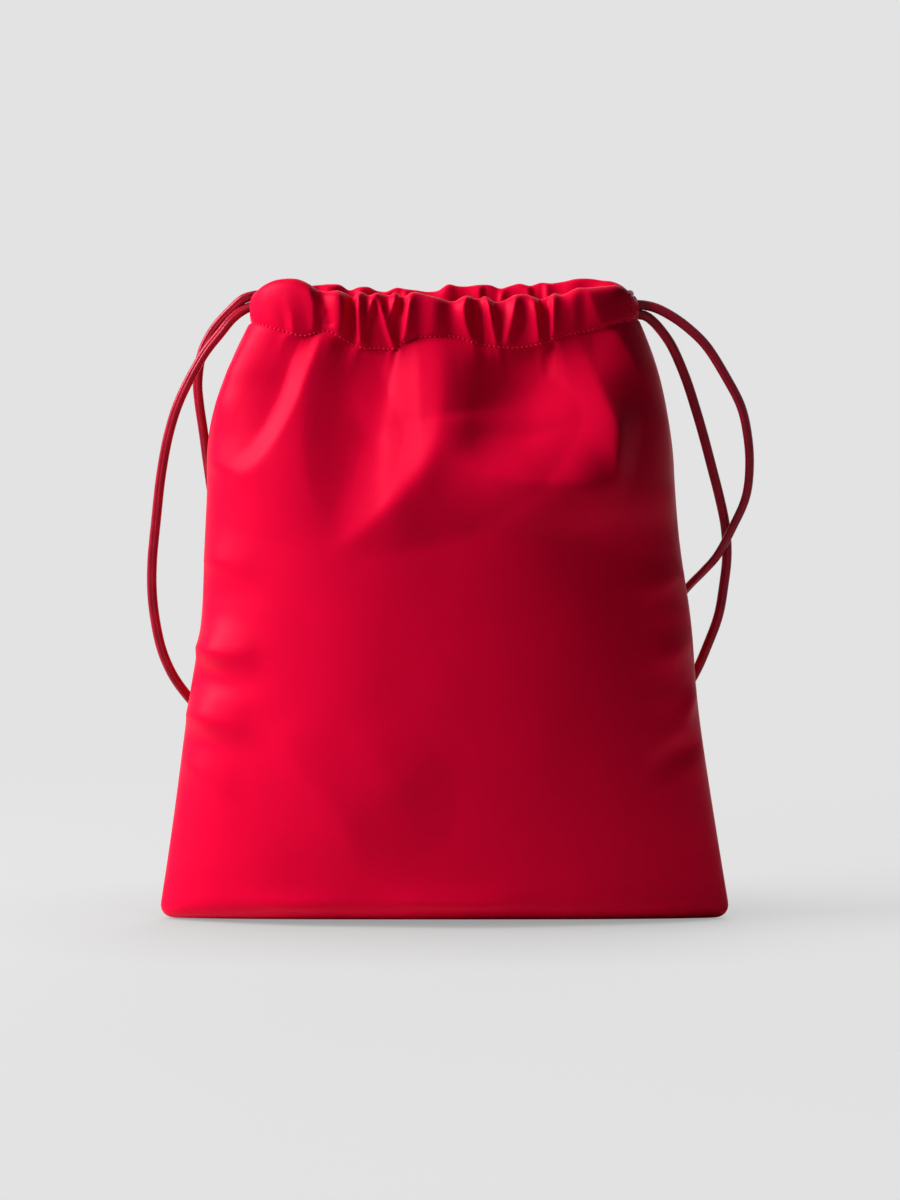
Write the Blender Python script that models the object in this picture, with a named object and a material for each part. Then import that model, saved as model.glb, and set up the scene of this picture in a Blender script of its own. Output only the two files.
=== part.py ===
"""Drawstring pouch of thin satin nylon, standing upright and softly filled out, with two leather drawstrings.

Two cloth panels, front and back, meet at a seam down each side and along the bottom. The top of each panel is
folded in and sewn down as a hem tunnel, gathered in ruffles. Each drawstring runs once round through both
tunnels and leaves with both ends at its own side, where the ends are tied in one knot behind the pouch.

Metres, +Z up. The pouch stands on its flattened bottom at z = 0, with its middle at the origin and its front
towards -Y.
"""

import math

import bmesh
import bpy
import numpy as np
from mathutils import Matrix

# Cloth
CLOTH = 0.0009  # wall of a panel, seam allowances counted in
SEAM_GAP = 0.0003  # between the two panels along their seams

# Pouch, outside of the cloth
HEM_TOP = 0.3165  # height of the hem's fold at the sides
BASE_HALF_WIDTH = 0.1412
SHOULDER_HALF_WIDTH = 0.1155  # where the gathers start to draw the sides in
SHOULDER_HEIGHT = 0.222
FLARE = 1.38  # how quickly the sides narrow above the base
DRAW = 1.9  # how late they turn in below the hem
CORNER_RADIUS = 0.009  # bottom corners, seen from the front
CORNER_REACH = 0.009  # flat run of the bottom seam before each corner
HEEL_HEIGHT = 0.014  # height of the round edge between bottom and body
BASE_HALF_DEPTH = 0.018  # flat bottom at its middle
HEEL_HALF_DEPTH = 0.030
BODY_HALF_DEPTH = 0.048
BODY_LENS = 2.4  # plan of the full body: how far it stays deep towards the seams
BODY_ROUNDNESS = 0.62  # and how sharply it meets them, 0.5 being round
FULLEST_HEIGHT = 0.120
LEAN_START = 0.180  # above this the panels lean in towards the mouth
SLUMP = 0.0016  # the upper body stands this much to the left

# Hem tunnels and the slit between them at each side
TUNNEL_HALF_LENGTH = 0.0915  # middle of the tunnel, along X
TUNNEL_HALF_DEPTH = 0.0195
TUNNEL_ENDS = 6.0  # how square the tunnel's plan is
HEM_HEIGHT = 0.022
HEM_THICKNESS = 0.009
SLIT_HALF_WIDTH = 0.0035
SLIT_DEPTH = 0.012  # the side seam opens over this much below the hem
FRONT_DROOP = 0.0055  # the hem hangs lower in its middle
BACK_DROOP = 0.0025
INNER_RUFFLE = 0.35  # share of a ruffle that shows inside the mouth
CREST_RISE = 0.5  # share of a ruffle that lifts the hem's fold
FLAT_CREST = 0.003  # height of the ruffle that leaves the fold where it is
STITCHED_RUFFLE = 0.55  # share of a ruffle that is left at the stitching

# Leather drawstrings
CORD_DIAMETER = 0.0044
CORD_STEP = 0.0150  # between the points of a cord's tube
TURN_STEP = 0.0045  # the same where it turns out of the slit
LEVEL_LOW = -0.0061  # heights of the cords in the tunnels, from the tunnel's middle
LEVEL_MIDDLE = -0.0013
LEVEL_HIGH = 0.0035
TURN_OUT = 0.0009  # where a cord turns out of a tunnel's end: past the tunnel's middle line
TURN_SIDE = 0.0011  # and this far from the middle of the slit
KNOT_GAP = 0.0003
KNOT_RADII = (0.0072, 0.0062, 0.0085)
TAIL_LENGTH = 0.026
TAIL_SPREAD = 0.0042

# Mesh
COLUMNS = 56
BODY_ROWS = 13
COLUMN_CROWDING = 0.7  # how much the columns crowd towards the seams

LEFT, RIGHT = -1.0, 1.0
FRONT, BACK = -1.0, 1.0

HEM_MIDDLE = HEM_TOP - HEM_HEIGHT / 2
HEM_CORNERS = tuple(math.radians(a) for a in (-65, -24, 24, 65, 115, 156, 204, 245))
HEM_BOXINESS = 0.6

# Ruffles of the hem: place across the panel from -1 to 1, half width in metres, height.
FRONT_RUFFLES = (
    (-0.87, 0.011, 0.0025),
    (-0.60, 0.0065, 0.0055),
    (-0.42, 0.0045, 0.0045),
    (-0.26, 0.0045, 0.0045),
    (-0.07, 0.0100, 0.0040),
    (0.15, 0.0045, 0.0040),
    (0.42, 0.0075, 0.0045),
    (0.71, 0.0105, 0.0040),
    (0.94, 0.0050, 0.0020),
)
BACK_RUFFLES = (
    (-0.90, 0.008, 0.0022),
    (-0.68, 0.0085, 0.0045),
    (-0.43, 0.0055, 0.0050),
    (-0.22, 0.0060, 0.0035),
    (0.03, 0.0085, 0.0045),
    (0.27, 0.0050, 0.0048),
    (0.48, 0.0065, 0.0038),
    (0.73, 0.0080, 0.0045),
    (0.92, 0.0055, 0.0020),
)

# Folds that fall from the hem. Each runs from a place across the panel at the hem to another one at its foot:
# place at the hem, place at the foot, height of the foot, half width at the hem and at the foot, height of the
# ridge at the hem and near the foot. A negative height is a hollow.
FRONT_FOLDS = (
    (-0.62, -0.92, 0.205, 0.010, 0.020, 0.0040, 0.0040),
    (-0.47, -0.50, 0.190, 0.006, 0.016, -0.0045, -0.0040),
    (-0.38, -0.30, 0.240, 0.006, 0.012, -0.0040, -0.0020),
    (-0.20, -0.12, 0.210, 0.013, 0.020, 0.0045, 0.0040),
    (0.36, 0.10, 0.215, 0.012, 0.022, -0.0050, -0.0045),
    (0.62, 0.66, 0.200, 0.013, 0.022, 0.0045, 0.0045),
    (0.84, 0.93, 0.235, 0.006, 0.012, -0.0030, -0.0025),
)
BACK_FOLDS = (
    (-0.68, -0.78, 0.200, 0.011, 0.022, 0.0042, 0.0040),
    (-0.50, -0.36, 0.200, 0.008, 0.018, -0.0045, -0.0040),
    (-0.16, -0.10, 0.215, 0.012, 0.022, 0.0040, 0.0038),
    (0.16, 0.24, 0.195, 0.009, 0.020, -0.0045, -0.0042),
    (0.46, 0.52, 0.205, 0.012, 0.022, 0.0042, 0.0040),
    (0.74, 0.70, 0.215, 0.009, 0.018, -0.0035, -0.0035),
)


def ease(t):
    """Smooth step from 0 to 1."""
    t = np.clip(t, 0.0, 1.0)
    return t * t * (3.0 - 2.0 * t)


def between(low, high, t):
    return low + (high - low) * t


def across():
    """Places of the columns across a panel, from -1 at the left seam to 1 at the right one."""
    c = np.linspace(-1.0, 1.0, COLUMNS + 1)
    return (1.0 - COLUMN_CROWDING) * c + COLUMN_CROWDING * np.sin(c * math.pi / 2)


# Outline of the pouch


def hem_middle(s, droop):
    """Height of the tunnel's middle line: the hem hangs lower towards the middle of the panel."""
    return HEM_MIDDLE - droop * (1.0 - s * s)


def half_width(z):
    """Half of the pouch's width at a height: straight up from the base, drawn in above the shoulder."""
    if z < CORNER_RADIUS:
        inset = CORNER_RADIUS - math.sqrt(CORNER_RADIUS**2 - (CORNER_RADIUS - z) ** 2)
    else:
        inset = 0.0
    hem_half_width = TUNNEL_HALF_LENGTH + HEM_THICKNESS / 2
    top = HEM_TOP - HEM_HEIGHT
    left_to_climb = max(1.0 - z / SHOULDER_HEIGHT, 0.0)
    lower = between(BASE_HALF_WIDTH, SHOULDER_HALF_WIDTH, 1.0 - left_to_climb**FLARE)
    drawn = min(max(z - SHOULDER_HEIGHT, 0.0) / (top - SHOULDER_HEIGHT), 1.0)
    return between(lower, hem_half_width, drawn**DRAW) - inset


def centre(z):
    """Sideways place of the pouch's middle at a height."""
    straightened = float(ease((z - SHOULDER_HEIGHT) / (HEM_TOP - SHOULDER_HEIGHT)))
    return -SLUMP * float(ease(z / LEAN_START)) * (1.0 - straightened)


def half_depth(z):
    filled = between(HEEL_HALF_DEPTH, BODY_HALF_DEPTH, float(ease(z / FULLEST_HEIGHT)) ** 0.7)
    hem_half_depth = TUNNEL_HALF_DEPTH + HEM_THICKNESS / 4
    leaning = float(ease((z - LEAN_START) / (HEM_TOP - HEM_HEIGHT - LEAN_START)))
    return between(filled, hem_half_depth, leaning)


def seam_place(z):
    """Distance of a panel's edge from the seam plane: it opens into the slit just under the hem."""
    opening = float(ease((z - (HEM_TOP - HEM_HEIGHT - SLIT_DEPTH)) / SLIT_DEPTH))
    return between(SEAM_GAP / 2, SLIT_HALF_WIDTH, opening)


def depth_at(s, z):
    """Depth of the smooth body across the panel: a full lens low down, a long round-ended shape at the hem."""
    gathered = float(ease((z - LEAN_START) / (HEM_TOP - HEM_HEIGHT - LEAN_START)))
    power = between(BODY_LENS, TUNNEL_ENDS, gathered)
    roundness = between(BODY_ROUNDNESS, 0.5, gathered)
    edge = seam_place(z)
    return edge + (half_depth(z) - edge) * np.maximum(1.0 - np.abs(s) ** power, 0.0) ** roundness


def fold_relief(s, z, folds):
    """How far the folds below the hem lift a panel, along its depth."""
    relief = np.zeros_like(s)
    top = HEM_TOP - HEM_HEIGHT
    width = half_width(z)
    for at_hem, at_foot, foot, half_at_hem, half_at_foot, height, low_height in folds:
        down = (top - z) / (top - foot)
        if down > 1.35:
            continue
        path = min(down, 1.0)
        place = between(at_hem, at_foot, path**1.15)
        half = between(half_at_hem, half_at_foot, path)
        lift = between(height, low_height, path) * float(1.0 - ease((down - 0.45) / 0.9))
        relief += lift * np.exp(-(((s - place) * width / half) ** 2))
    return relief * (1.0 - np.abs(s) ** 14)


def ruffle_relief(s, ruffles):
    """Height of the hem's ruffles across a panel."""
    relief = np.zeros_like(s)
    for place, half, height in ruffles:
        relief = np.maximum(relief, height * np.exp(-(((s - place) * TUNNEL_HALF_LENGTH / half) ** 4)))
    return relief * (1.0 - np.abs(s) ** 20)


def tunnel_middle(s):
    """Middle line of a hem tunnel in plan, as X, depth, and the direction that points out of the pouch."""
    reach = TUNNEL_HALF_DEPTH - SLIT_HALF_WIDTH
    rest = np.maximum(1.0 - np.abs(s) ** TUNNEL_ENDS, 0.0)
    x = TUNNEL_HALF_LENGTH * s
    depth = SLIT_HALF_WIDTH + reach * np.sqrt(rest)
    out_x = TUNNEL_ENDS * np.abs(s) ** (TUNNEL_ENDS - 1.0) * np.sign(s) * reach / TUNNEL_HALF_LENGTH
    out_depth = 2.0 * np.sqrt(rest)
    length = np.hypot(out_x, out_depth)
    return x, depth, out_x / length, out_depth / length


# Panels


def body_rows(s, side, droop, folds):
    """Rows of outside points from the bottom seam up to just under the hem."""
    rows = []
    edge = SEAM_GAP / 2
    heel = depth_at(s, HEEL_HEIGHT)
    base = edge + (heel - edge) * (BASE_HALF_DEPTH / HEEL_HALF_DEPTH)
    flat = np.zeros_like(s)
    rows.append((s * (half_width(0.0) - CORNER_REACH), np.full_like(s, edge), flat))
    rows.append((s * half_width(0.0), base, flat))
    for turn in (30, 60, 90):
        angle = math.radians(turn)
        z = HEEL_HEIGHT * (1.0 - math.cos(angle))
        rows.append((s * half_width(z), base + (heel - base) * math.sin(angle), flat + z))
    top = HEM_TOP - HEM_HEIGHT
    for row in range(1, BODY_ROWS + 1):
        share = 1.0 - (1.0 - row / (BODY_ROWS + 1)) ** 1.35
        z = between(HEEL_HEIGHT, top, share)
        hang = droop * share**3 * (1.0 - s * s)
        depth = depth_at(s, z) + fold_relief(s, z, folds)
        rows.append((centre(z) + s * half_width(z), depth, z - hang))
    return [np.stack([x, side * depth, z], axis=1) for x, depth, z in rows]


def hem_rings(s, side, droop, ruffles):
    """The hem's outer ring and its tunnel: for each corner of the ring, one row of points across the panel."""
    x, depth, out_x, out_depth = tunnel_middle(s)
    ruffle = ruffle_relief(s, ruffles)
    middle = hem_middle(s, droop)
    outside, tunnel = [], []
    for angle in HEM_CORNERS:
        sideways = math.copysign(abs(math.cos(angle)) ** HEM_BOXINESS, math.cos(angle))
        upwards = math.copysign(abs(math.sin(angle)) ** HEM_BOXINESS, math.sin(angle))
        swell = ruffle if sideways > 0 else -INNER_RUFFLE * ruffle
        at_stitching, at_fold = upwards < -0.9, upwards > 0.9
        swell = swell * (STITCHED_RUFFLE if at_stitching else 1.0)
        rise = CREST_RISE * (ruffle - FLAT_CREST) * (1.0 - s**8) if at_fold else 0.0
        for rows, wall in ((outside, 0.0), (tunnel, CLOTH)):
            out = (HEM_THICKNESS / 2 - wall) * sideways + swell
            up = (HEM_HEIGHT / 2 - wall) * upwards + rise
            rows.append(np.stack([x + out * out_x, side * (depth + out * out_depth), middle + up], axis=1))
    return outside, tunnel


def inward(rows):
    """Unit directions into the cloth for a grid of points, level with the seam plane along its edges."""
    grid = np.array(rows)
    along = np.gradient(grid, axis=1)
    up = np.gradient(grid, axis=0)
    normal = np.cross(along, up)
    normal[:, 0] = np.cross(np.array([0.0, 1.0, 0.0]), up[:, 0])
    normal[:, -1] = np.cross(np.array([0.0, -1.0, 0.0]), up[:, -1])
    normal[:, 0] *= np.sign(normal[:, 0, :1] + 1e-12)
    normal[:, -1] *= -np.sign(normal[:, -1, :1] - 1e-12)
    normal[:2] = (0.0, 0.0, 1.0)
    side = math.copysign(1.0, grid[:, 1:-1, 1].mean())
    middle = normal[2:, 1:-1]
    middle *= -np.sign(middle[..., 1:2]) * side
    return normal / np.linalg.norm(normal, axis=2, keepdims=True)


def panel(name, side, droop, ruffles, folds, material):
    """One cloth panel: its body wall, the hem folded in and sewn down, and the tunnel open at both ends."""
    s = across()
    outer = body_rows(s, side, droop, folds)
    inner = list(np.array(outer) + CLOTH * inward(outer))
    ring, tunnel = hem_rings(s, side, droop, ruffles)
    loop = outer + ring + inner[::-1]
    rows = loop + tunnel
    points = np.concatenate(rows)
    wide = len(s)

    def at(row, column):
        return row * wide + column

    faces = []
    for row in range(len(loop)):
        above = (row + 1) % len(loop)
        for c in range(wide - 1):
            faces.append((at(row, c), at(row, c + 1), at(above, c + 1), at(above, c)))
    first = len(loop)
    for corner in range(len(tunnel)):
        above = first + (corner + 1) % len(tunnel)
        for c in range(wide - 1):
            faces.append((at(above, c), at(above, c + 1), at(first + corner, c + 1), at(first + corner, c)))
    tall = len(outer)
    for c, flip in ((0, False), (wide - 1, True)):
        caps = []
        for row in range(tall):
            across_from = len(loop) - 1 - row
            caps.append((row, row + 1, across_from - 1, across_from))
        for corner in range(len(ring) - 1):
            here = tall + corner
            caps.append((here, here + 1, first + corner + 1, first + corner))
        caps.append((tall + len(ring) - 1, tall, first, first + len(ring) - 1))
        for cap in caps:
            face = [at(row, c) for row in cap]
            faces.append(face[::-1] if flip else face)
    return solid(name, points, faces, material)


# Drawstrings


def smooth_curve(points, step):
    """A smooth curve through the points, with a new point about every step; the step is a number for each gap."""
    points = [np.array(p) for p in points]
    ends = [2 * points[0] - points[1]] + points + [2 * points[-1] - points[-2]]
    curve = []
    for i in range(1, len(ends) - 2):
        p0, p1, p2, p3 = ends[i - 1 : i + 3]
        d0, d1, d2 = (math.sqrt(np.linalg.norm(b - a)) for a, b in ((p0, p1), (p1, p2), (p2, p3)))
        m1 = (p2 - p1) + d1 * ((p1 - p0) / d0 - (p2 - p0) / (d0 + d1))
        m2 = (p2 - p1) + d1 * ((p3 - p2) / d2 - (p3 - p1) / (d1 + d2))
        count = max(1, round(np.linalg.norm(p2 - p1) / step[i - 1]))
        for t in np.arange(count) / count:
            curve.append(
                (2 * t**3 - 3 * t**2 + 1) * p1
                + (t**3 - 2 * t**2 + t) * m1
                + (3 * t**2 - 2 * t**3) * p2
                + (t**3 - t**2) * m2
            )
    curve.append(points[-1])
    return curve


# Free runs of the drawstrings, from the slit to the knot.
LEFT_FRONT_RUN = (
    (-0.0985, 0.0000, 0.3020),
    (-0.1045, -0.0012, 0.2975),
    (-0.1103, -0.0022, 0.2905),
    (-0.1177, -0.0030, 0.2812),
    (-0.1237, -0.0032, 0.2713),
    (-0.1311, -0.0022, 0.2564),
    (-0.1360, -0.0010, 0.2415),
    (-0.1400, 0.0002, 0.2217),
    (-0.1430, 0.0016, 0.1969),
    (-0.1450, 0.0028, 0.1771),
    (-0.1452, 0.0038, 0.1622),
    (-0.1437, 0.0050, 0.1474),
    (-0.1405, 0.0066, 0.1325),
    (-0.1353, 0.0088, 0.1201),
    (-0.1278, 0.0134, 0.1088),
    (-0.1182, 0.0236, 0.0970),
)
LEFT_BACK_RUN = (
    (-0.0990, 0.0003, 0.3072),
    (-0.1053, 0.0022, 0.3018),
    (-0.1137, 0.0034, 0.2925),
    (-0.1197, 0.0040, 0.2812),
    (-0.1222, 0.0044, 0.2663),
    (-0.1216, 0.0050, 0.2564),
    (-0.1196, 0.0064, 0.2415),
    (-0.1178, 0.0100, 0.2257),
    (-0.1154, 0.0168, 0.2050),
    (-0.1124, 0.0222, 0.1800),
    (-0.1090, 0.0272, 0.1500),
    (-0.1060, 0.0304, 0.1200),
    (-0.1044, 0.0334, 0.1010),
)
RIGHT_FRONT_RUN = (
    (0.0985, 0.0000, 0.3040),
    (0.1045, -0.0010, 0.3025),
    (0.1130, -0.0020, 0.2980),
    (0.1209, -0.0024, 0.2921),
    (0.1289, -0.0024, 0.2842),
    (0.1388, -0.0020, 0.2688),
    (0.1465, -0.0014, 0.2539),
    (0.1499, -0.0006, 0.2391),
    (0.1509, 0.0002, 0.2242),
    (0.1492, 0.0012, 0.2093),
    (0.1430, 0.0030, 0.1945),
    (0.1351, 0.0056, 0.1796),
    (0.1289, 0.0086, 0.1722),
    (0.1215, 0.0140, 0.1640),
    (0.1130, 0.0218, 0.1520),
    (0.1052, 0.0276, 0.1350),
    (0.1002, 0.0320, 0.1150),
    (0.0984, 0.0356, 0.0965),
)
RIGHT_BACK_RUN = (
    (0.0985, 0.0006, 0.2990),
    (0.1025, 0.0022, 0.2965),
    (0.1072, 0.0040, 0.2915),
    (0.1123, 0.0052, 0.2842),
    (0.1192, 0.0064, 0.2688),
    (0.1242, 0.0070, 0.2539),
    (0.1286, 0.0074, 0.2391),
    (0.1326, 0.0078, 0.2242),
    (0.1365, 0.0082, 0.2093),
    (0.1396, 0.0088, 0.1945),
    (0.1405, 0.0094, 0.1796),
    (0.1390, 0.0100, 0.1647),
    (0.1365, 0.0108, 0.1499),
    (0.1313, 0.0130, 0.1350),
    (0.1251, 0.0170, 0.1201),
    (0.1175, 0.0232, 0.1075),
    (0.1095, 0.0300, 0.0930),
)
LEFT_KNOT = (-0.1040, 0.0350, 0.0840)
RIGHT_KNOT = (0.0980, 0.0374, 0.0785)


def tunnel_run(side, droop, start_level, end_level):
    """Points of a cord through one tunnel, from the left slit to the right one."""
    s = np.array((-0.995, -0.96, -0.88, -0.72, -0.5, -0.25, 0.0, 0.25, 0.5, 0.72, 0.88, 0.96, 0.995))
    x, depth, _, _ = tunnel_middle(s)
    level = between(start_level, end_level, ease((s + 1.0) / 2.0))
    return [
        (float(a), float(side * b), float(c))
        for a, b, c in zip(x, depth, hem_middle(s, droop) + level)
    ]


def slit_bridge(end, level):
    """The point where a cord crosses a slit from one tunnel to the other."""
    return (end * TUNNEL_HALF_LENGTH, 0.0, HEM_MIDDLE + level)


def at_knot(run, place):
    """A free run with its last point added, where it meets its knot with the gap that touching pieces keep."""
    last = np.array(run[-1])
    towards = np.array(place) - last
    towards /= np.linalg.norm(towards)
    offset = (last - np.array(place)) / KNOT_RADII
    slope = towards / KNOT_RADII
    half = float(offset @ slope)
    reach = (-half - math.sqrt(half**2 - float(slope @ slope) * (float(offset @ offset) - 1.0))) / float(slope @ slope)
    return list(run) + [tuple(last + towards * (reach - KNOT_GAP))]


def drawstring(name, end, knot_place, front_run, back_run, front_level, back_level, bridge_level, material):
    """One drawstring: knot, free run, front tunnel, across the far slit, back tunnel, free run, knot."""
    levels = (front_level, bridge_level)
    front = tunnel_run(FRONT, FRONT_DROOP, *(levels if end == LEFT else levels[::-1]))
    levels = (back_level, bridge_level)
    back = tunnel_run(BACK, BACK_DROOP, *(levels if end == LEFT else levels[::-1]))
    if end == RIGHT:
        front, back = front[::-1], back[::-1]
    front[0] = slit_turn(end, FRONT, front_level)
    back[0] = slit_turn(end, BACK, back_level)
    front_run = at_knot(front_run, knot_place)
    back_run = at_knot(back_run, knot_place)
    route = front_run[::-1] + front + [slit_bridge(-end, bridge_level)] + back[::-1] + back_run
    steps = []
    for here, there in zip(route, route[1:]):
        near_slit = abs(abs(here[0]) - TUNNEL_HALF_LENGTH) < HEM_THICKNESS and here[2] > HEM_MIDDLE - HEM_HEIGHT
        steps.append(TURN_STEP if near_slit else CORD_STEP)
    curve = bpy.data.curves.new(name, "CURVE")
    curve.dimensions = "3D"
    curve.bevel_depth = CORD_DIAMETER / 2
    curve.bevel_resolution = 2
    curve.use_fill_caps = True
    points = smooth_curve(route, steps)
    spline = curve.splines.new("POLY")
    spline.points.add(len(points) - 1)
    for point, place in zip(spline.points, points):
        point.co = (*place, 1.0)
    cord = bpy.data.objects.new(name, curve)
    curve.materials.append(material)
    bpy.context.scene.collection.objects.link(cord)
    return cord


def slit_turn(end, side, level):
    """The point where a cord turns from a tunnel's end out into the slit."""
    return (end * (TUNNEL_HALF_LENGTH + TURN_OUT), side * TURN_SIDE, HEM_MIDDLE + level)


def knot(name, place, material):
    """The knot that ties a drawstring's two ends, with its two short tails hanging from it."""
    body = bmesh.new()
    bmesh.ops.create_icosphere(body, subdivisions=2, radius=1.0)
    bmesh.ops.scale(body, vec=KNOT_RADII, verts=body.verts)
    bmesh.ops.translate(body, vec=place, verts=body.verts)
    lump = linked(name, body, material)
    for lean in (-1.0, 1.0):
        tail = bmesh.new()
        bmesh.ops.create_cone(
            tail,
            cap_ends=True,
            segments=8,
            radius1=CORD_DIAMETER / 2,
            radius2=CORD_DIAMETER / 2,
            depth=TAIL_LENGTH,
        )
        tilt = math.atan2(TAIL_SPREAD, TAIL_LENGTH)
        bmesh.ops.rotate(tail, cent=(0, 0, 0), matrix=Matrix.Rotation(-lean * tilt, 3, "Y"), verts=tail.verts)
        sink = KNOT_RADII[2] * 0.55 + TAIL_LENGTH / 2
        bmesh.ops.translate(tail, vec=(place[0] + lean * TAIL_SPREAD, place[1], place[2] - sink), verts=tail.verts)
        cutter = linked(name + "_tail_guide", tail, material)
        join(lump, cutter)
    return lump


def join(target, tool):
    """Boolean union of a second object into the first, with the second then removed."""
    union = target.modifiers.new("union", "BOOLEAN")
    union.operation = "UNION"
    union.object = tool
    evaluated = target.evaluated_get(bpy.context.evaluated_depsgraph_get())
    target.data = bpy.data.meshes.new_from_object(evaluated)
    target.modifiers.remove(union)
    bpy.data.objects.remove(tool)


# Blender objects


def linked(name, mesh_data, material):
    """An object made from a bmesh, in the scene."""
    mesh = bpy.data.meshes.new(name)
    mesh_data.to_mesh(mesh)
    mesh_data.free()
    mesh.materials.append(material)
    mesh.shade_smooth()
    thing = bpy.data.objects.new(name, mesh)
    bpy.context.scene.collection.objects.link(thing)
    return thing


def solid(name, points, faces, material):
    """An object made from points and faces, with its faces turned outwards."""
    mesh_data = bmesh.new()
    verts = [mesh_data.verts.new(p) for p in points]
    for face in faces:
        mesh_data.faces.new([verts[i] for i in face])
    bmesh.ops.triangulate(mesh_data, faces=mesh_data.faces)
    bmesh.ops.recalc_face_normals(mesh_data, faces=mesh_data.faces)
    return linked(name, mesh_data, material)


def finish(name, colour, roughness):
    """A plain material of one colour."""
    material = bpy.data.materials.new(name)
    material.use_nodes = True
    shader = material.node_tree.nodes["Principled BSDF"]
    shader.inputs["Base Color"].default_value = (*colour, 1.0)
    shader.inputs["Roughness"].default_value = roughness
    shader.inputs["Metallic"].default_value = 0.0
    return material


def main():
    for thing in list(bpy.data.objects):
        bpy.data.objects.remove(thing, do_unlink=True)
    cloth = (0.63, 0.003, 0.026)
    leather = (0.30, 0.006, 0.016)
    panel("front_panel", FRONT, FRONT_DROOP, FRONT_RUFFLES, FRONT_FOLDS, finish("front_cloth", cloth, 0.5))
    panel("back_panel", BACK, BACK_DROOP, BACK_RUFFLES, BACK_FOLDS, finish("back_cloth", cloth, 0.5))
    drawstring(
        "left_drawstring",
        LEFT,
        LEFT_KNOT,
        LEFT_FRONT_RUN,
        LEFT_BACK_RUN,
        LEVEL_MIDDLE,
        LEVEL_HIGH,
        LEVEL_HIGH,
        finish("left_leather", leather, 0.4),
    )
    drawstring(
        "right_drawstring",
        RIGHT,
        RIGHT_KNOT,
        RIGHT_FRONT_RUN,
        RIGHT_BACK_RUN,
        LEVEL_MIDDLE,
        LEVEL_LOW,
        LEVEL_LOW,
        finish("right_leather", leather, 0.4),
    )
    knot("left_knot", LEFT_KNOT, finish("left_knot_leather", leather, 0.4))
    knot("right_knot", RIGHT_KNOT, finish("right_knot_leather", leather, 0.4))


main()
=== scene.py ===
"""Looks of the drawstring pouch: satin nylon with its folds, pleats and stitches, and leather cords."""

import math

import bmesh
import bpy
import numpy as np
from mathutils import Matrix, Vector

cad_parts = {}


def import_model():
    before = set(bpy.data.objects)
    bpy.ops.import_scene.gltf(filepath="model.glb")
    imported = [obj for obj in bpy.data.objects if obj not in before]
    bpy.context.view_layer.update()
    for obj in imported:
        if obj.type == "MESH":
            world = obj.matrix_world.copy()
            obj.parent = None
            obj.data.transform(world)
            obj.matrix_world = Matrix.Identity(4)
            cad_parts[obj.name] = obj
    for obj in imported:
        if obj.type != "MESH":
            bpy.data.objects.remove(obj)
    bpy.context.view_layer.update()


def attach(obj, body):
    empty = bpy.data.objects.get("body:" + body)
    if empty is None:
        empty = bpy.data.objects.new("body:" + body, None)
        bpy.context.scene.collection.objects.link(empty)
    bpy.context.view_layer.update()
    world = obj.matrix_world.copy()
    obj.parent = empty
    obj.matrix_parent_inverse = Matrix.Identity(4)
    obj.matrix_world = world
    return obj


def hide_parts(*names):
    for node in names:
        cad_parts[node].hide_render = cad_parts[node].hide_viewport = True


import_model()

# Driving sizes, in metres. Most are those of the solids, and a few are fitted closer to the cloth.
HEM_TOP = 0.3165
BASE_HALF_WIDTH = 0.1425
SHOULDER_HALF_WIDTH = 0.1155
SHOULDER_HEIGHT = 0.222
FLARE = 1.38
DRAW = 1.9
CORNER_RADIUS = 0.0076
CORNER_REACH = 0.0076
HEEL_HEIGHT = 0.014
BASE_HALF_DEPTH = 0.013
HEEL_HALF_DEPTH = 0.0355
BODY_HALF_DEPTH = 0.048
BODY_LENS = 2.4
LOW_FLATNESS = -0.25  # the cloth is rounder across near the bottom
BASE_LIFT = 0.0012  # the middle of the bottom seam stands this much off the floor
BODY_ROUNDNESS = 0.62
BODY_FILL = 0.6  # power: below 1, the pouch fills out early above its heel
FULLEST_HEIGHT = 0.120
LEAN_START = 0.180
SLUMP = 0.0016
TUNNEL_HALF_LENGTH = 0.0915
TUNNEL_HALF_DEPTH = 0.0195
TUNNEL_ENDS = 6.0
TUNNEL_ROUNDNESS = 0.5
HEM_SPAN = 1.049  # the hem's lines reach this far, as a share of the tunnel's half length
HEM_HEIGHT = 0.022
HEM_THICKNESS = 0.009
HEM_FLATNESS = 0.25  # how flat the hem's walls are towards the stitching
HEM_FOLD_FLATNESS = 0.85  # and towards the fold
HEM_FULLNESS = 0.85  # how boxy the hem's section is upwards
HEM_RISE = 1.045  # brings the section's ends to the fold and the stitching
HEM_ANGLES = (-65.0, 245.0)  # where the hem's section starts and ends
INNER_EDGE_STEPS = (0.4, 0.75, 1.0)  # rows from the tunnel's inside back to the body's cloth
INNER_EDGE_DROP = 0.0006  # how far the hem's inner edge reaches below the stitching
INNER_EDGE_OUT = (-0.0027, 0.00148)  # from the tunnel's middle outwards, at the edge's start and end
SLIT_HALF_WIDTH = 0.0035
SLIT_DEPTH = 0.012
HEM_SWELL = 0.0011  # the body stands this much fuller just below the stitching
SWELL_REACH = 0.012  # and loses it over this height
FRONT_DROOP = 0.0055
BACK_DROOP = 0.0025
LEVEL_LOW = -0.0061
LEVEL_MIDDLE = -0.0013
LEVEL_HIGH = 0.0035
TURN_OUT = 0.0009
TURN_SIDE = 0.0011
HEM_MIDDLE = HEM_TOP - HEM_HEIGHT / 2
HEM_LOW = HEM_TOP - HEM_HEIGHT

CLOTH = 0.00035  # thickness of the cloth
SEAM_GAP = 0.00006  # between the two panels along their seams
MM = 0.001

LEFT, RIGHT = -1.0, 1.0
FRONT, BACK = -1.0, 1.0

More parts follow.
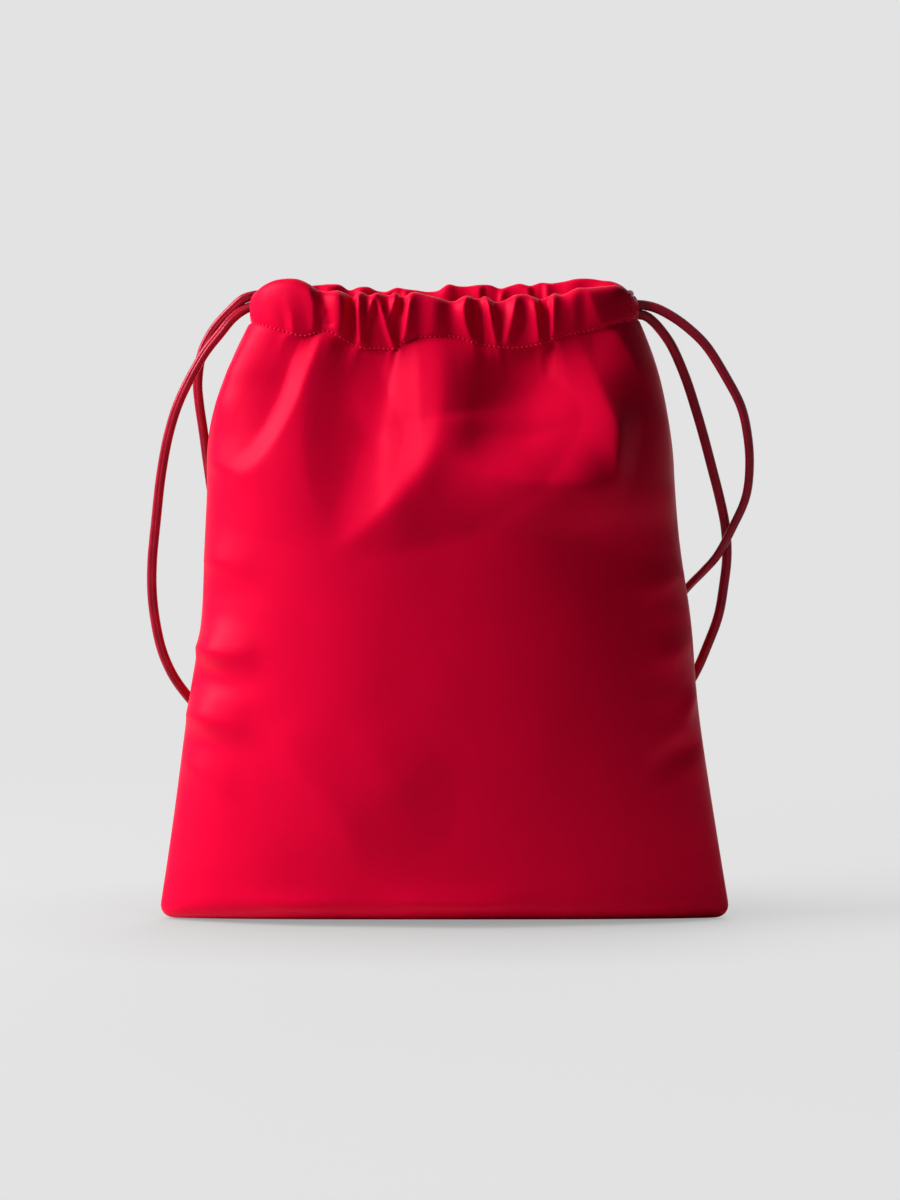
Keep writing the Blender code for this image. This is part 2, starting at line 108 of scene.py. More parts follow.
# Mesh of a panel: columns across, and rows for each stretch from the bottom seam to the hem's inner edge
COLUMNS = 264
COLUMN_CROWDING = 0.7  # towards the side seams
BASE_ROWS = 5
HEEL_ROWS = 8
BODY_ROWS = 104
ROW_CROWDING = 1.2  # towards the hem
HEM_ROWS = 46


def ease(t):
    t = np.clip(t, 0.0, 1.0)
    return t * t * (3.0 - 2.0 * t)


def between(low, high, t):
    return low + (high - low) * t


# Folds, in millimetres. Each is a line on the panel seen from the front: points of (x, z, height, half width
# of the first flank, half width of the second), then the powers of the two flanks, and the roundness of the
# crest at the line's start and end. The first flank lies on the right of someone who walks along the line: it
# is towards -x where the line goes down, and below where it goes towards +x. A power near 1 is a straight
# flank, a larger one hollows up to a sharper crest, and 0 is a round one. A negative height is a hollow.
ROUND = (0, 0, 0, 0)
FRONT_FOLDS = (
    # edge of the left side: from the hem down to where it dies out in the body
    (((-95, 292, 0.4, 6, 14), (-98.5, 280, 2.6, 8, 22), (-103, 268, 3.4, 10, 25), (-108.5, 256, 2.8, 10, 24),
      (-114, 244, 0, 8, 16)), 1.5, 1.3, 2, 3),
    # fullness of the upper front, which leans over to the right
    (((70, 288, 0, 30, 30), (73, 278, 1.2, 44, 34), (76.5, 266, 3.4, 62, 34), (78.5, 254, 6.2, 88, 34),
      (79, 242, 8.6, 112, 34), (79, 228, 9.8, 126, 36), (78.5, 216, 9.8, 130, 38), (78, 206, 7.8, 130, 38),
      (78, 196, 3.6, 124, 34), (78, 186, 0, 110, 30)), 1.6, 1.0, 3, 3),
    # sharp fold from the knuckle of the hem out to the left seam
    (((-59, 292, 2.4, 6, 20), (-61.5, 283, 3.6, 9, 30), (-65, 273, 4, 10, 40), (-68.2, 264, 3.8, 9.5, 48),
      (-71.2, 255, 3.6, 9.5, 54), (-75.5, 246, 3.4, 9.5, 56), (-81.2, 236, 3.2, 9.5, 56),
      (-88.5, 227, 2.8, 9.5, 50), (-97.5, 220, 1.8, 9, 36), (-107, 215, 0, 8, 20)), 1.35, 1.0, 0.8, 2),
    # left edge of the dark band beside the left shoulder
    (((-65, 272, 0, 16, 14), (-67, 261, 0.8, 24, 22), (-68.2, 250, 1.6, 30, 26), (-68.6, 238, 2, 34, 28),
      (-68, 226, 2, 36, 26), (-65.5, 215, 1.4, 36, 22), (-62, 206, 0.8, 32, 18), (-58, 198, 0, 26, 14)),
      1.1, 1.1, 1.4, 1.4),
    # tongue: rises towards its right and lower edge
    (((0.5, 290, 3.8, 24, 22), (0.8, 276, 7.6, 38, 38), (0.4, 262, 10.2, 46, 56), (-0.2, 248, 11.2, 47, 62),
      (-1.6, 237, 11.4, 47, 54), (-5.4, 228, 10.8, 46, 43), (-10.8, 220, 9.4, 42, 35),
      (-17.8, 213, 7.6, 38, 29), (-25, 206, 5.8, 32, 23), (-33, 199.5, 4, 26, 18), (-40, 194.5, 2.4, 20, 14),
      (-46, 190.5, 1, 14, 10), (-52, 187, 0, 10, 10)), 2.0, 1.25, 8, 0.8),
    # small ridge on the tongue
    (((-12.5, 289, 1.4, 10, 16), (-12.5, 275, 2, 14, 18), (-12, 260, 1.8, 14, 18), (-11.5, 246, 1, 13, 16),
      (-11, 235, 0, 12, 14)), 1.3, 1.1, 1.2, 1.6),
    # hollow between the tongue and the right bulge
    (((34, 288, -2.2, 22, 18), (35, 275, -3, 28, 26), (33, 260, -2.8, 30, 30), (27, 245, -2.4, 26, 30),
      (20, 235, -1.8, 20, 26), (15, 229, -0.8, 16, 20), (11, 224, 0, 12, 16)), *ROUND),
    # right bulge: rises towards its right edge
    (((60, 290, 1, 12, 16), (68, 280, 1.8, 24, 18), (73, 268, 2.4, 32, 16), (76.5, 256, 3, 36, 15),
      (80, 248, 3.8, 40, 14), (81.5, 241, 4.6, 42, 12), (80.8, 234, 5.2, 42, 11), (79.8, 226.5, 4.6, 42, 10),
      (78.6, 219, 2.8, 36, 10), (77.5, 212, 0, 26, 10)), 1.4, 1.5, 2.6, 0.6),
    # crease under the right bulge
    (((2, 227, 0, 12, 14), (8, 223.2, 1.4, 18, 18), (17, 218.8, 3.6, 22, 22), (28, 215.8, 6.2, 24, 24),
      (40, 214.2, 8.2, 24, 25), (52, 213.7, 8.4, 24, 25), (63, 214, 7.2, 22, 24), (73, 215.2, 4.2, 20, 20),
      (81, 217, 0, 14, 14)), 1.3, 1.15, 0.6, 0.6),
    # short dip below the hem beside the right bulge, and the edge right of it
    (((50, 287, -2, 3, 4), (50.5, 278, -1.2, 4, 5), (51, 269, 0, 4, 5)), *ROUND),
    (((79, 296, 2, 8, 8), (83.5, 290, 3.4, 14, 12), (89, 280, 3.4, 16, 14), (94, 270, 2.2, 16, 14),
      (100, 258, 0, 14, 12)), 1.4, 1.3, 0.6, 1.6),
    # small folds that the side seams draw in
    (((-118, 229, 1.2, 5, 10), (-110, 225, 1.8, 6, 13), (-100, 222, 1, 8, 13), (-90, 220, 0, 8, 10)),
      1.5, 1.3, 1, 1.6),
    (((-119, 179, 1.8, 7, 13), (-112, 178, 2.6, 8, 16), (-102, 176.5, 1.5, 9, 16), (-90, 174, 0, 8, 10)),
      1.5, 1.2, 1, 1.8),
    (((-121.5, 134.5, 4.2, 8, 14), (-113, 133.5, 6.8, 10, 18), (-102, 133.5, 4.4, 12, 18),
      (-88, 136, 0, 12, 14)), 1.4, 1.2, 0.8, 2),
    (((-126, 101.5, 3.8, 8, 13), (-118, 101, 5.8, 10, 16), (-107, 99.5, 3.4, 12, 16), (-93, 97, 0, 12, 14)),
      1.4, 1.2, 0.8, 2),
    (((-131, 79, 1.2, 8, 12), (-122, 75, 2, 10, 15), (-111, 68, 1.2, 10, 15), (-101, 61, 0, 10, 10)),
      1.5, 1.3, 1, 1.8),
    (((129, 90, -1, 8, 8), (117, 85, -2.6, 10, 10), (107, 79, -1.8, 10, 12), (97, 72, 0, 10, 10)), *ROUND),
    (((125, 114, 1.4, 4, 5), (120, 105, 2, 5, 7), (115, 96, 0, 5, 7)), 1.5, 1.5, 1, 1.4),
    (((118, 172, 1.6, 10, 8), (108, 169, 2.4, 13, 10), (96, 165, 1.2, 13, 10), (86, 162, 0, 10, 10)),
      1.6, 1.6, 1.4, 2),
    (((122, 138, 1.4, 10, 8), (111, 133, 2.4, 13, 10), (100, 129, 0, 10, 10)), 1.6, 1.6, 1.4, 2),
    # slack of the lower left, and creases just above the bottom seam
    (((-86, 100, 0, 20, 18), (-77, 90, 1.4, 30, 34), (-67, 76, 2.2, 36, 48), (-56, 62, 2.6, 38, 56),
      (-47.5, 50, 2.7, 38, 56), (-43, 38, 1.8, 34, 48), (-41, 26, 0, 28, 30)), 1.7, 1.0, 1.6, 1),
    (((-42, 100, 0, 16, 20), (-33, 86, 0.9, 22, 30), (-23, 72, 1.2, 24, 34), (-15, 58, 0, 18, 26)),
      1.6, 1.2, 2, 3),
    (((-30, 13.5, 0, 6, 6), (-12, 12.5, 2, 6, 10), (14, 11.5, 2.8, 6, 11), (32, 12, 2, 6, 10),
      (46, 13.5, 0, 6, 6)), 1.4, 1.3, 0.6, 0.6),
    (((-100, 13, 0, 4, 5), (-88, 10, 1.2, 5, 7), (-66, 9, 1.6, 5, 8), (-43, 10.5, 0, 4, 7)),
      1.5, 1.5, 1, 1.4),
)
BACK_FOLDS = (
    (((60, 290, 2, 8, 10), (64, 278, 4.8, 12, 18), (70, 262, 6.6, 14, 26), (76, 246, 6.6, 15, 30),
      (83, 231, 4.6, 15, 28), (91, 218, 2, 14, 22), (98, 208, 0, 12, 16)), 1.6, 2.0, 1.6, 3),
    (((43, 288, -3.4, 14, 12), (42, 272, -5.4, 24, 16), (39, 252, -6, 30, 22), (35, 232, -4.8, 28, 24),
      (32, 214, -2.4, 20, 22), (30, 200, 0, 14, 14)), *ROUND),
    (((8, 289, 2.8, 20, 18), (6, 274, 5.6, 28, 30), (3, 256, 7.8, 30, 38), (-1, 238, 8, 28, 38),
      (-6, 222, 6.4, 24, 32), (-13, 208, 4, 18, 24), (-21, 196, 1.4, 14, 16), (-28, 188, 0, 12, 12)),
      1.5, 2.1, 5, 1.4),
    (((-20, 288, -3, 12, 12), (-23, 272, -5, 18, 20), (-28, 252, -5.4, 22, 24), (-34, 234, -4, 22, 22),
      (-39, 218, -1.8, 18, 18), (-43, 206, 0, 12, 12)), *ROUND),
    (((-52, 289, 2, 12, 10), (-56, 276, 4.6, 22, 13), (-61, 260, 6.6, 30, 15), (-65, 244, 7, 34, 16),
      (-66, 229, 5.6, 34, 16), (-64, 215, 3.2, 28, 16), (-59, 204, 0, 20, 14)), 2.2, 1.6, 1.8, 3),
    (((-86, 292, 1.4, 8, 6), (-92, 279, 3, 12, 8), (-99, 263, 2.4, 12, 10), (-106, 248, 0, 10, 10)),
      1.6, 1.5, 1.2, 1.8),
    (((-22, 201, 0, 14, 12), (-8, 196, 2.2, 26, 16), (10, 194, 3.2, 34, 20), (30, 196, 2.8, 34, 20),
      (48, 201, 1.4, 26, 16), (62, 208, 0, 16, 12)), 1.5, 2.0, 1.4, 1.4),
    (((118, 215, 1.6, 6, 10), (106, 213, 2.6, 8, 14), (92, 208, 0, 10, 12)), 1.8, 1.5, 1, 1.8),
    (((120, 162, 1.8, 6, 10), (109, 160, 3, 8, 14), (96, 156, 0, 10, 12)), 1.8, 1.5, 1, 1.8),
    (((-120, 190, 1.8, 10, 6), (-108, 188, 2.8, 13, 8), (-96, 183, 0, 12, 10)), 1.5, 1.8, 1, 1.8),
    (((-123, 140, 1.8, 10, 6), (-112, 138, 2.8, 13, 8), (-99, 142, 0, 12, 10)), 1.5, 1.8, 1, 1.8),
    (((70, 90, 0, 14, 16), (56, 76, 2.4, 16, 26), (42, 62, 2.6, 16, 30), (30, 50, 0, 14, 20)),
      1.5, 1.7, 2, 3),
    (((-56, 96, 0, 16, 14), (-44, 80, 2.2, 26, 16), (-34, 64, 2.2, 28, 16), (-26, 50, 0, 18, 14)),
      1.7, 1.5, 2, 3),
)

# Pleats of the hem, in the same form: they show on the outside of the tunnel.
FRONT_PLEATS = (
    (((-83, 320, 1, 14, 14), (-83.5, 303, 1.4, 14, 14), (-82, 286, 1, 12, 12)), *ROUND),
    (((-79, 306, 0, 4, 6), (-77, 299, 1.8, 4, 7), (-76.5, 290, 1.8, 4, 7)), 1.5, 1.3, 0.6, 0.6),
    # end of the flat stretch, folded over the knuckle
    (((-69, 320, 4, 18, 3), (-68, 310, 4.6, 18, 2.8), (-66.2, 301, 3.8, 16, 2.8), (-66.8, 292, 1.4, 12, 3)),
      1.3, 1.2, 0.5, 0.6),
    # knuckle
    (((-54.5, 320, 4.4, 10, 6), (-53.5, 308, 5.8, 10.5, 5.6), (-53, 298, 5.8, 10.5, 5.4),
      (-54.5, 289, 2.4, 8.5, 5.5)), *ROUND),
    (((-65.5, 313, 1.2, 3, 2.2), (-64, 305, 2.2, 3, 2.2), (-61, 299, 1.6, 2.4, 2), (-57.5, 296.5, 0, 2, 2)),
      1.6, 1.2, 0.5, 0.5),
    (((-59.8, 298.5, -2.2, 3, 3.4), (-58, 295.5, -1.2, 3, 3.4)), *ROUND),
    (((-47.5, 320, -3, 4, 2.6), (-47, 303, -3.6, 4.2, 2.6), (-46.5, 282, -2.4, 4.5, 3.4)), *ROUND),
    (((-44.1, 320, 5.6, 2, 5.8), (-43.8, 301, 5.6, 1.8, 6), (-43, 286, 2.8, 2.4, 5)), 1.2, 1.9, 0.5, 0.6),
    (((-35.2, 315, 4.6, 4, 2.6), (-37.2, 304, 4.4, 4.2, 2.4), (-39.8, 294, 0, 3, 2.4)), 1.7, 1.3, 0.4, 0.4),
    (((-35.2, 312, 3, 2.2, 4), (-30.5, 296, 4.4, 2, 4.6), (-24.8, 281, 2.2, 2.4, 4)), 1.2, 1.9, 0.4, 0.5),
    (((-23.8, 315, 4.8, 3.8, 3), (-26.2, 303, 4, 3.6, 2.4), (-29, 295, 0, 2.6, 2.2)), 1.7, 1.3, 0.4, 0.4),
    (((-16, 320, 5.4, 2.6, 10.5), (-18.8, 299, 5.4, 2.2, 11), (-20.6, 285, 3.2, 2.6, 9)),
      1.2, 1.8, 0.5, 0.6),
    (((-5, 320, 3.6, 11, 10), (-5.5, 300, 4, 11, 10.5), (-6, 285, 2.2, 10, 11)), *ROUND),
    (((12.5, 315, 5.4, 8.5, 2.2), (10.6, 299, 5, 8.5, 2.2), (15, 284, 2, 7, 2.6)), 1.8, 1.2, 0.5, 0.5),
    (((17.2, 320, -2, 3, 2.6), (18.2, 300, -2.4, 3, 2.8), (20.2, 284, -1.2, 3, 3)), *ROUND),
    (((21.2, 315, 4.8, 2.4, 3.6), (24, 297, 4.2, 2.2, 3.6), (27, 283, 1.6, 2.6, 3.6)), 1.3, 1.7, 0.4, 0.5),
    (((38, 318, 5.2, 5, 6), (35.2, 300, 5, 4.6, 7), (31.8, 286, 1.6, 3.6, 6)), 1.7, 1.8, 0.5, 0.6),
    (((45.2, 318, 5.4, 7.6, 1.8), (47.4, 297, 5.2, 8, 1.6), (49.2, 283, 2, 6, 2)), 1.9, 1.2, 0.4, 0.5),
    (((55.2, 320, 5.4, 2, 8.5), (55.2, 299, 5.2, 1.8, 9), (55.6, 284, 2.4, 2.2, 8)), 1.2, 1.9, 0.4, 0.5),
    (((64, 320, 2.6, 10, 8), (64, 302, 3, 10, 8), (65, 288, 1.6, 10, 8)), *ROUND),
    (((71.5, 320, 3, 11, 20), (73.2, 310, 3.8, 12, 20), (76.5, 301, 4, 13, 18), (80.5, 293, 3.2, 13, 15)),
      1.3, 1.2, 0.5, 0.5),
)
BACK_PLEATS = (
    (((-83, 320, 2.2, 11, 11), (-83, 304, 2.8, 11, 11), (-82, 289, 1.2, 10, 10)), *ROUND),
    (((-69, 320, 3.6, 10, 2.6), (-70, 306, 4, 10, 2.6), (-72.5, 290, 1, 8, 3)), 1.8, 1.2, 0.5, 0.6),
    (((-59, 320, 5.2, 7, 8), (-60, 305, 6, 7, 7.5), (-59, 290, 3, 7, 7)), *ROUND),
    (((-45, 320, 5.2, 2.4, 7), (-43, 302, 5.4, 2.2, 7), (-41, 289, 2.6, 2.6, 6)), 1.2, 1.9, 0.5, 0.6),
    (((-31, 317, 4.8, 5, 2.6), (-28.8, 302, 4.6, 5, 2.4), (-25.5, 289, 0, 4, 2.6)), 1.7, 1.2, 0.4, 0.5),
    (((-19.5, 317, 4.8, 2.6, 6), (-20.5, 302, 4.8, 2.4, 6.4), (-17, 289, 2, 3, 6)), 1.3, 1.8, 0.4, 0.5),
    (((-2, 320, 4, 9, 8.5), (1, 302, 4.4, 9, 8.5), (2, 289, 2.2, 8, 8)), *ROUND),
    (((18.5, 317, 5, 8, 2.4), (18, 302, 5, 8, 2.2), (16.5, 289, 2, 6, 2.6)), 1.9, 1.2, 0.5, 0.5),
    (((31, 317, 4.8, 2.4, 4.4), (29, 302, 4.6, 2.2, 4.4), (27.5, 289, 0, 2.6, 4)), 1.3, 1.8, 0.4, 0.5),
    (((43, 320, 5.2, 7, 2.4), (44.5, 302, 5.4, 7, 2.2), (46, 289, 2.4, 6, 2.6)), 1.9, 1.2, 0.5, 0.5),
    (((53, 320, 5, 2.4, 9), (54, 302, 5, 2.2, 9), (55, 289, 2.2, 2.6, 8)), 1.2, 1.9, 0.4, 0.5),
    (((66, 320, 3.6, 10, 10), (67, 302, 4.2, 10, 10), (67, 289, 2, 10, 10)), *ROUND),
    (((86, 320, 2.2, 8.5, 8), (86, 305, 2.6, 8.5, 8), (86, 292, 1.2, 8, 8)), *ROUND),
)

# Fold of the hem seen from the front: x and height of its top, in millimetres.
FRONT_RIM = (
    (-96, 310), (-92.5, 313), (-88.5, 315), (-82, 316.2), (-74, 315.6), (-69, 313.4), (-65, 310.8),
    (-61, 310), (-54.3, 310.4), (-49.8, 308.6), (-46.8, 307), (-44.5, 309.2), (-42.5, 309.6), (-38.9, 308),
    (-35, 309.2), (-31, 308.4), (-28.5, 308), (-25, 309.4), (-21.5, 307.2), (-17, 309.6), (-9.7, 308.6),
    (-2.2, 306.8), (4.2, 305.2), (11.6, 308), (17, 306.2), (21, 307.6), (26, 304.8), (31, 305.8),
    (36, 308.2), (44.4, 307.8), (49.5, 306.2), (53, 307.4), (56, 309), (59.7, 308.4), (67.6, 311.6),
    (74.6, 312), (82, 312.6), (89, 313), (93, 311), (96, 307),
)
BACK_RIM = (
    (-96, 309), (-92.5, 312), (-88, 313.6), (-80, 314), (-72, 313.4), (-65, 313.8), (-60, 314.2),
    (-54, 313.6), (-50, 311.2), (-45, 312.6), (-40, 312.8), (-35, 310.8), (-31, 310.4), (-25, 312.4),
    (-20.5, 311.8), (-15, 311.2), (-8, 310.4), (-3, 311.2), (1.5, 314), (7, 313.2), (11, 313), (18, 313.8),
    (24, 313.6), (29, 312), (34, 313.2), (39, 314.4), (45, 313.4), (50, 314.8), (56, 314.6), (62, 315.4),
    (69, 316.8), (76, 316.8), (82, 316), (88, 315.2), (92, 313.2), (96, 309),
)
# Stitching of the hem: x and height, in millimetres.
FRONT_STITCHING = (
    (-96, 295), (-88, 292.8), (-79, 290), (-71.6, 288.4), (-64, 290.6), (-59, 290.6), (-54, 288.4),
    (-49.3, 285.6), (-44.4, 283.2), (-34, 282.4), (-24, 282.8), (-19, 286.8), (-8, 288), (6, 288),
    (15, 285.2), (22, 283.8), (42.4, 283.2), (50, 285), (55.8, 287.4), (70, 290.4), (80.5, 293.1),
    (89.5, 295.8), (96, 296.8),
)
BACK_STITCHING = (
    (-96, 295.4), (-85, 292.6), (-70, 290.4), (-60, 290.8), (-50, 288.4), (-38, 287.6), (-26, 287),
    (-12, 288.2), (5, 289.4), (14, 287.4), (26, 287), (38, 288.4), (50, 289.2), (64, 290.8), (78, 292.2),
    (96, 295.6),
)


def hermite(t, start, end, leave, arrive):
    """Place at t on a smooth curve from start to end, with its directions there."""
    return (
        (2 * t**3 - 3 * t**2 + 1) * start
        + (t**3 - 2 * t**2 + t) * leave
        + (3 * t**2 - 2 * t**3) * end
        + (t**3 - t**2) * arrive
    )


def smooth_through(points, x):
    """Heights of a smooth line through (x, z) points in millimetres, at the places x."""
    points = MM * np.array(points)
    at, height = points[:, 0], points[:, 1]
    slope = np.gradient(height, at)
    i = np.clip(np.searchsorted(at, x) - 1, 0, len(at) - 2)
    run = at[i + 1] - at[i]
    t = np.clip((x - at[i]) / run, 0.0, 1.0)
    return hermite(t, height[i], height[i + 1], run * slope[i], run * slope[i + 1])


def smooth_curve(points, step):
    """A smooth curve through the points, with a new point about every step."""
    points = [np.array(p, dtype=float) for p in points]
    ends = [2 * points[0] - points[1]] + points + [2 * points[-1] - points[-2]]
    curve = []
    for p0, p1, p2, p3 in zip(ends, ends[1:], ends[2:], ends[3:]):
        d0, d1, d2 = (math.sqrt(np.linalg.norm(b - a)) for a, b in ((p0, p1), (p1, p2), (p2, p3)))
        m1 = (p2 - p1) + d1 * ((p1 - p0) / d0 - (p2 - p0) / (d0 + d1))
        m2 = (p2 - p1) + d1 * ((p3 - p2) / d2 - (p3 - p1) / (d1 + d2))
        count = max(1, round(np.linalg.norm(p2 - p1) / step))
        for t in np.arange(count) / count:
            curve.append(hermite(t, p1, p2, m1, m2))
    curve.append(points[-1])
    return np.array(curve)


FOLD_STEP = 0.0012
FOLD_BLEND = 0.0040  # how softly a place is shared between the stretches of a line near it
FOLD_MARGIN = 1.05


def flank(share, power):
    """Height of a fold's flank, from 1 at its crest to 0 at its foot."""
    left = np.clip(1.0 - share, 0.0, 1.0)
    return left**power if power else 0.5 - 0.5 * np.cos(math.pi * left)


def fold_heights(x, z, folds):
    """Height that a list of folds gives the cloth at places (x, z) seen from the front."""
    total = np.zeros(x.shape)
    for points, first_power, second_power, round_start, round_end in folds:
        line = smooth_curve(MM * np.array(points), FOLD_STEP)
        widest = line[:, 3:5].max() * FOLD_MARGIN
        low, high = line[:, :2].min(axis=0) - widest, line[:, :2].max(axis=0) + widest
        near = (x > low[0]) & (x < high[0]) & (z > low[1]) & (z < high[1])
        if not near.any():
            continue
        px, pz = x[near], z[near]
        away = (px[:, None] - line[None, :, 0]) ** 2 + (pz[:, None] - line[None, :, 1]) ** 2
        # a soft nearest point: the height has no step where two stretches of the line are equally near
        weight = np.exp(-(away - away.min(axis=1, keepdims=True)) / FOLD_BLEND**2)
        weight /= weight.sum(axis=1, keepdims=True)
        along = weight @ np.linspace(0.0, 1.0, len(line))
        at_x, at_z, height, first, second = (weight @ line[:, k] for k in range(5))
        ahead_x, ahead_z = (weight @ step for step in np.gradient(line[:, :2], axis=0).T)
        side = ahead_z * (px - at_x) - ahead_x * (pz - at_z)
        rounding = MM * between(round_start, round_end, along)
        distance = np.sqrt(away.min(axis=1) + rounding**2) - rounding
        on_first, on_second = flank(distance / first, first_power), flank(distance / second, second_power)
        total[near] += height * np.where(side < 0, on_second, on_first)
    return total


# Form of the pouch, by the same rules as the solids: s runs from -1 to 1 across a panel


def half_width(z):
    inset = np.where(
        z < CORNER_RADIUS,
        CORNER_RADIUS - np.sqrt(np.maximum(CORNER_RADIUS**2 - (CORNER_RADIUS - z) ** 2, 0.0)),
        0.0,
    )
    left_to_climb = np.maximum(1.0 - z / SHOULDER_HEIGHT, 0.0)
    lower = between(BASE_HALF_WIDTH, SHOULDER_HALF_WIDTH, 1.0 - left_to_climb**FLARE)
    drawn = np.clip((z - SHOULDER_HEIGHT) / (HEM_LOW - SHOULDER_HEIGHT), 0.0, 1.0)
    return between(lower, TUNNEL_HALF_LENGTH + HEM_THICKNESS / 2, drawn**DRAW) - inset


# where the filled cloth sways to a side: height, reach and shift
SWAYS = ((0.148, 0.030, 0.0022), (0.246, 0.024, -0.0010))


def centre(z):
    straightened = ease((z - SHOULDER_HEIGHT) / (HEM_TOP - SHOULDER_HEIGHT))
    slump = -SLUMP * ease(z / LEAN_START) * (1.0 - straightened)
    for height, reach, shift in SWAYS:
        slump = slump + shift * np.exp(-(((z - height) / reach) ** 2))
    return slump


def leaning(z):
    return ease((z - LEAN_START) / (HEM_LOW - LEAN_START))


def half_depth(z):
    filled = between(HEEL_HALF_DEPTH, BODY_HALF_DEPTH, ease(z / FULLEST_HEIGHT) ** BODY_FILL)
    return between(filled, TUNNEL_HALF_DEPTH + HEM_THICKNESS / 4, leaning(z))


def seam_place(z):
    opening = ease((z - (HEM_LOW - SLIT_DEPTH)) / SLIT_DEPTH)
    return between(SEAM_GAP / 2, SLIT_HALF_WIDTH, opening)


def depth_at(s, z):
    power = between(BODY_LENS + LOW_FLATNESS * (1.0 - ease(z / FULLEST_HEIGHT)), TUNNEL_ENDS, leaning(z))
    roundness = between(BODY_ROUNDNESS, TUNNEL_ROUNDNESS, leaning(z))
    edge = seam_place(z)
    return edge + (half_depth(z) - edge) * np.maximum(1.0 - np.abs(s) ** power, 0.0) ** roundness


def tunnel_middle(s):
    reach = TUNNEL_HALF_DEPTH - SLIT_HALF_WIDTH
    rest = np.maximum(1.0 - np.abs(s) ** TUNNEL_ENDS, 0.0)
    x = TUNNEL_HALF_LENGTH * s
    depth = SLIT_HALF_WIDTH + reach * np.sqrt(rest)
    out_x = TUNNEL_ENDS * np.abs(s) ** (TUNNEL_ENDS - 1.0) * np.sign(s) * reach / TUNNEL_HALF_LENGTH
    out_depth = 2.0 * np.sqrt(rest)
    length = np.hypot(out_x, out_depth)
    return x, depth, out_x / length, out_depth / length


def across():
    c = np.linspace(-1.0, 1.0, COLUMNS + 1)
    return (1.0 - COLUMN_CROWDING) * c + COLUMN_CROWDING * np.sin(c * math.pi / 2)


NOISE_CELLS = 97


def smooth_noise(x, z, cell_x, cell_z, seed):
    """Smooth seeded noise between -1 and 1 over a plane, with cells of the given size."""
    rng = np.random.default_rng(seed)
    table = rng.uniform(-1.0, 1.0, (NOISE_CELLS, NOISE_CELLS))
    u, v = x / cell_x + 40.0, z / cell_z + 3.0
    iu, iv = np.floor(u).astype(int), np.floor(v).astype(int)
    fu, fv = ease(u - iu), ease(v - iv)

    def at(a, b):
        return table[a % NOISE_CELLS, b % NOISE_CELLS]

    low = between(at(iu, iv), at(iu + 1, iv), fu)
    high = between(at(iu, iv + 1), at(iu + 1, iv + 1), fu)
    return between(low, high, fv)


PLEAT_SHARE = 0.66  # how much of the pleats' listed height stands
PLEAT_DIP = 0.0012  # deepest hollow between two pleats
PLEAT_FADE = 24  # a high power: the pleats die out only close to the hem's ends
PLEAT_RUN_OUT = 0.0055  # how far the pleats run on below the stitching
FOLD_START = 0.004  # height below the stitching over which the folds rise
FOLD_FOOT = (0.002, 0.012)  # where the folds have died out above the bottom seam, and over which height
SEAM_HOLD = 60  # a high power: the folds die out only close to the side seams
UNEVENNESS = 0.00022  # faint waves all over the cloth
UNEVEN_CELL = (0.022, 0.030)
UNEVEN_START = 0.03
SWELL_FADE = 8  # power: the swell below the hem dies out towards the side seams
STITCH_PULL = 3  # power: rows close to the stitching follow its height most
PUCKER_REACH = 0.020
PUCKER_START = 0.0015
PUCKER_PITCH = 0.0085
PUCKER_HEIGHT = 0.00075


def body_grid(s, stitch_z):
    """Bottom seam, heel and body of a panel before its folds, with its depth outwards along +Y."""
    edge = np.full_like(s, SEAM_GAP / 2)
    heel = depth_at(s, HEEL_HEIGHT)
    base = edge + (heel - edge) * (BASE_HALF_DEPTH / HEEL_HALF_DEPTH)
    raised = BASE_LIFT * (1.0 - s * s)
    rows = []
    for row in range(BASE_ROWS):
        t = row / BASE_ROWS
        rows.append((s * (half_width(0.0) - CORNER_REACH * (1.0 - t)), between(edge, base, t), raised))
    for row in range(HEEL_ROWS):
        angle = math.pi / 2 * row / HEEL_ROWS
        z = HEEL_HEIGHT * (1.0 - math.cos(angle))
        rows.append((s * half_width(z), base + (heel - base) * math.sin(angle), z + raised * math.cos(angle)))
    # the body's rows climb evenly to the stitching, which hangs lower in the middle
    for row in range(BODY_ROWS):
        share = 1.0 - (1.0 - row / BODY_ROWS) ** ROW_CROWDING
        level = between(HEEL_HEIGHT, HEM_LOW, share)
        z = level + (stitch_z - HEM_LOW) * share**STITCH_PULL
        swell = HEM_SWELL * np.exp(-(HEM_LOW - level) / SWELL_REACH) * (1.0 - s**SWELL_FADE)
        rows.append((centre(level) + s * half_width(level), depth_at(s, level) + swell, z))
    return np.stack([np.stack(row, axis=1) for row in rows])


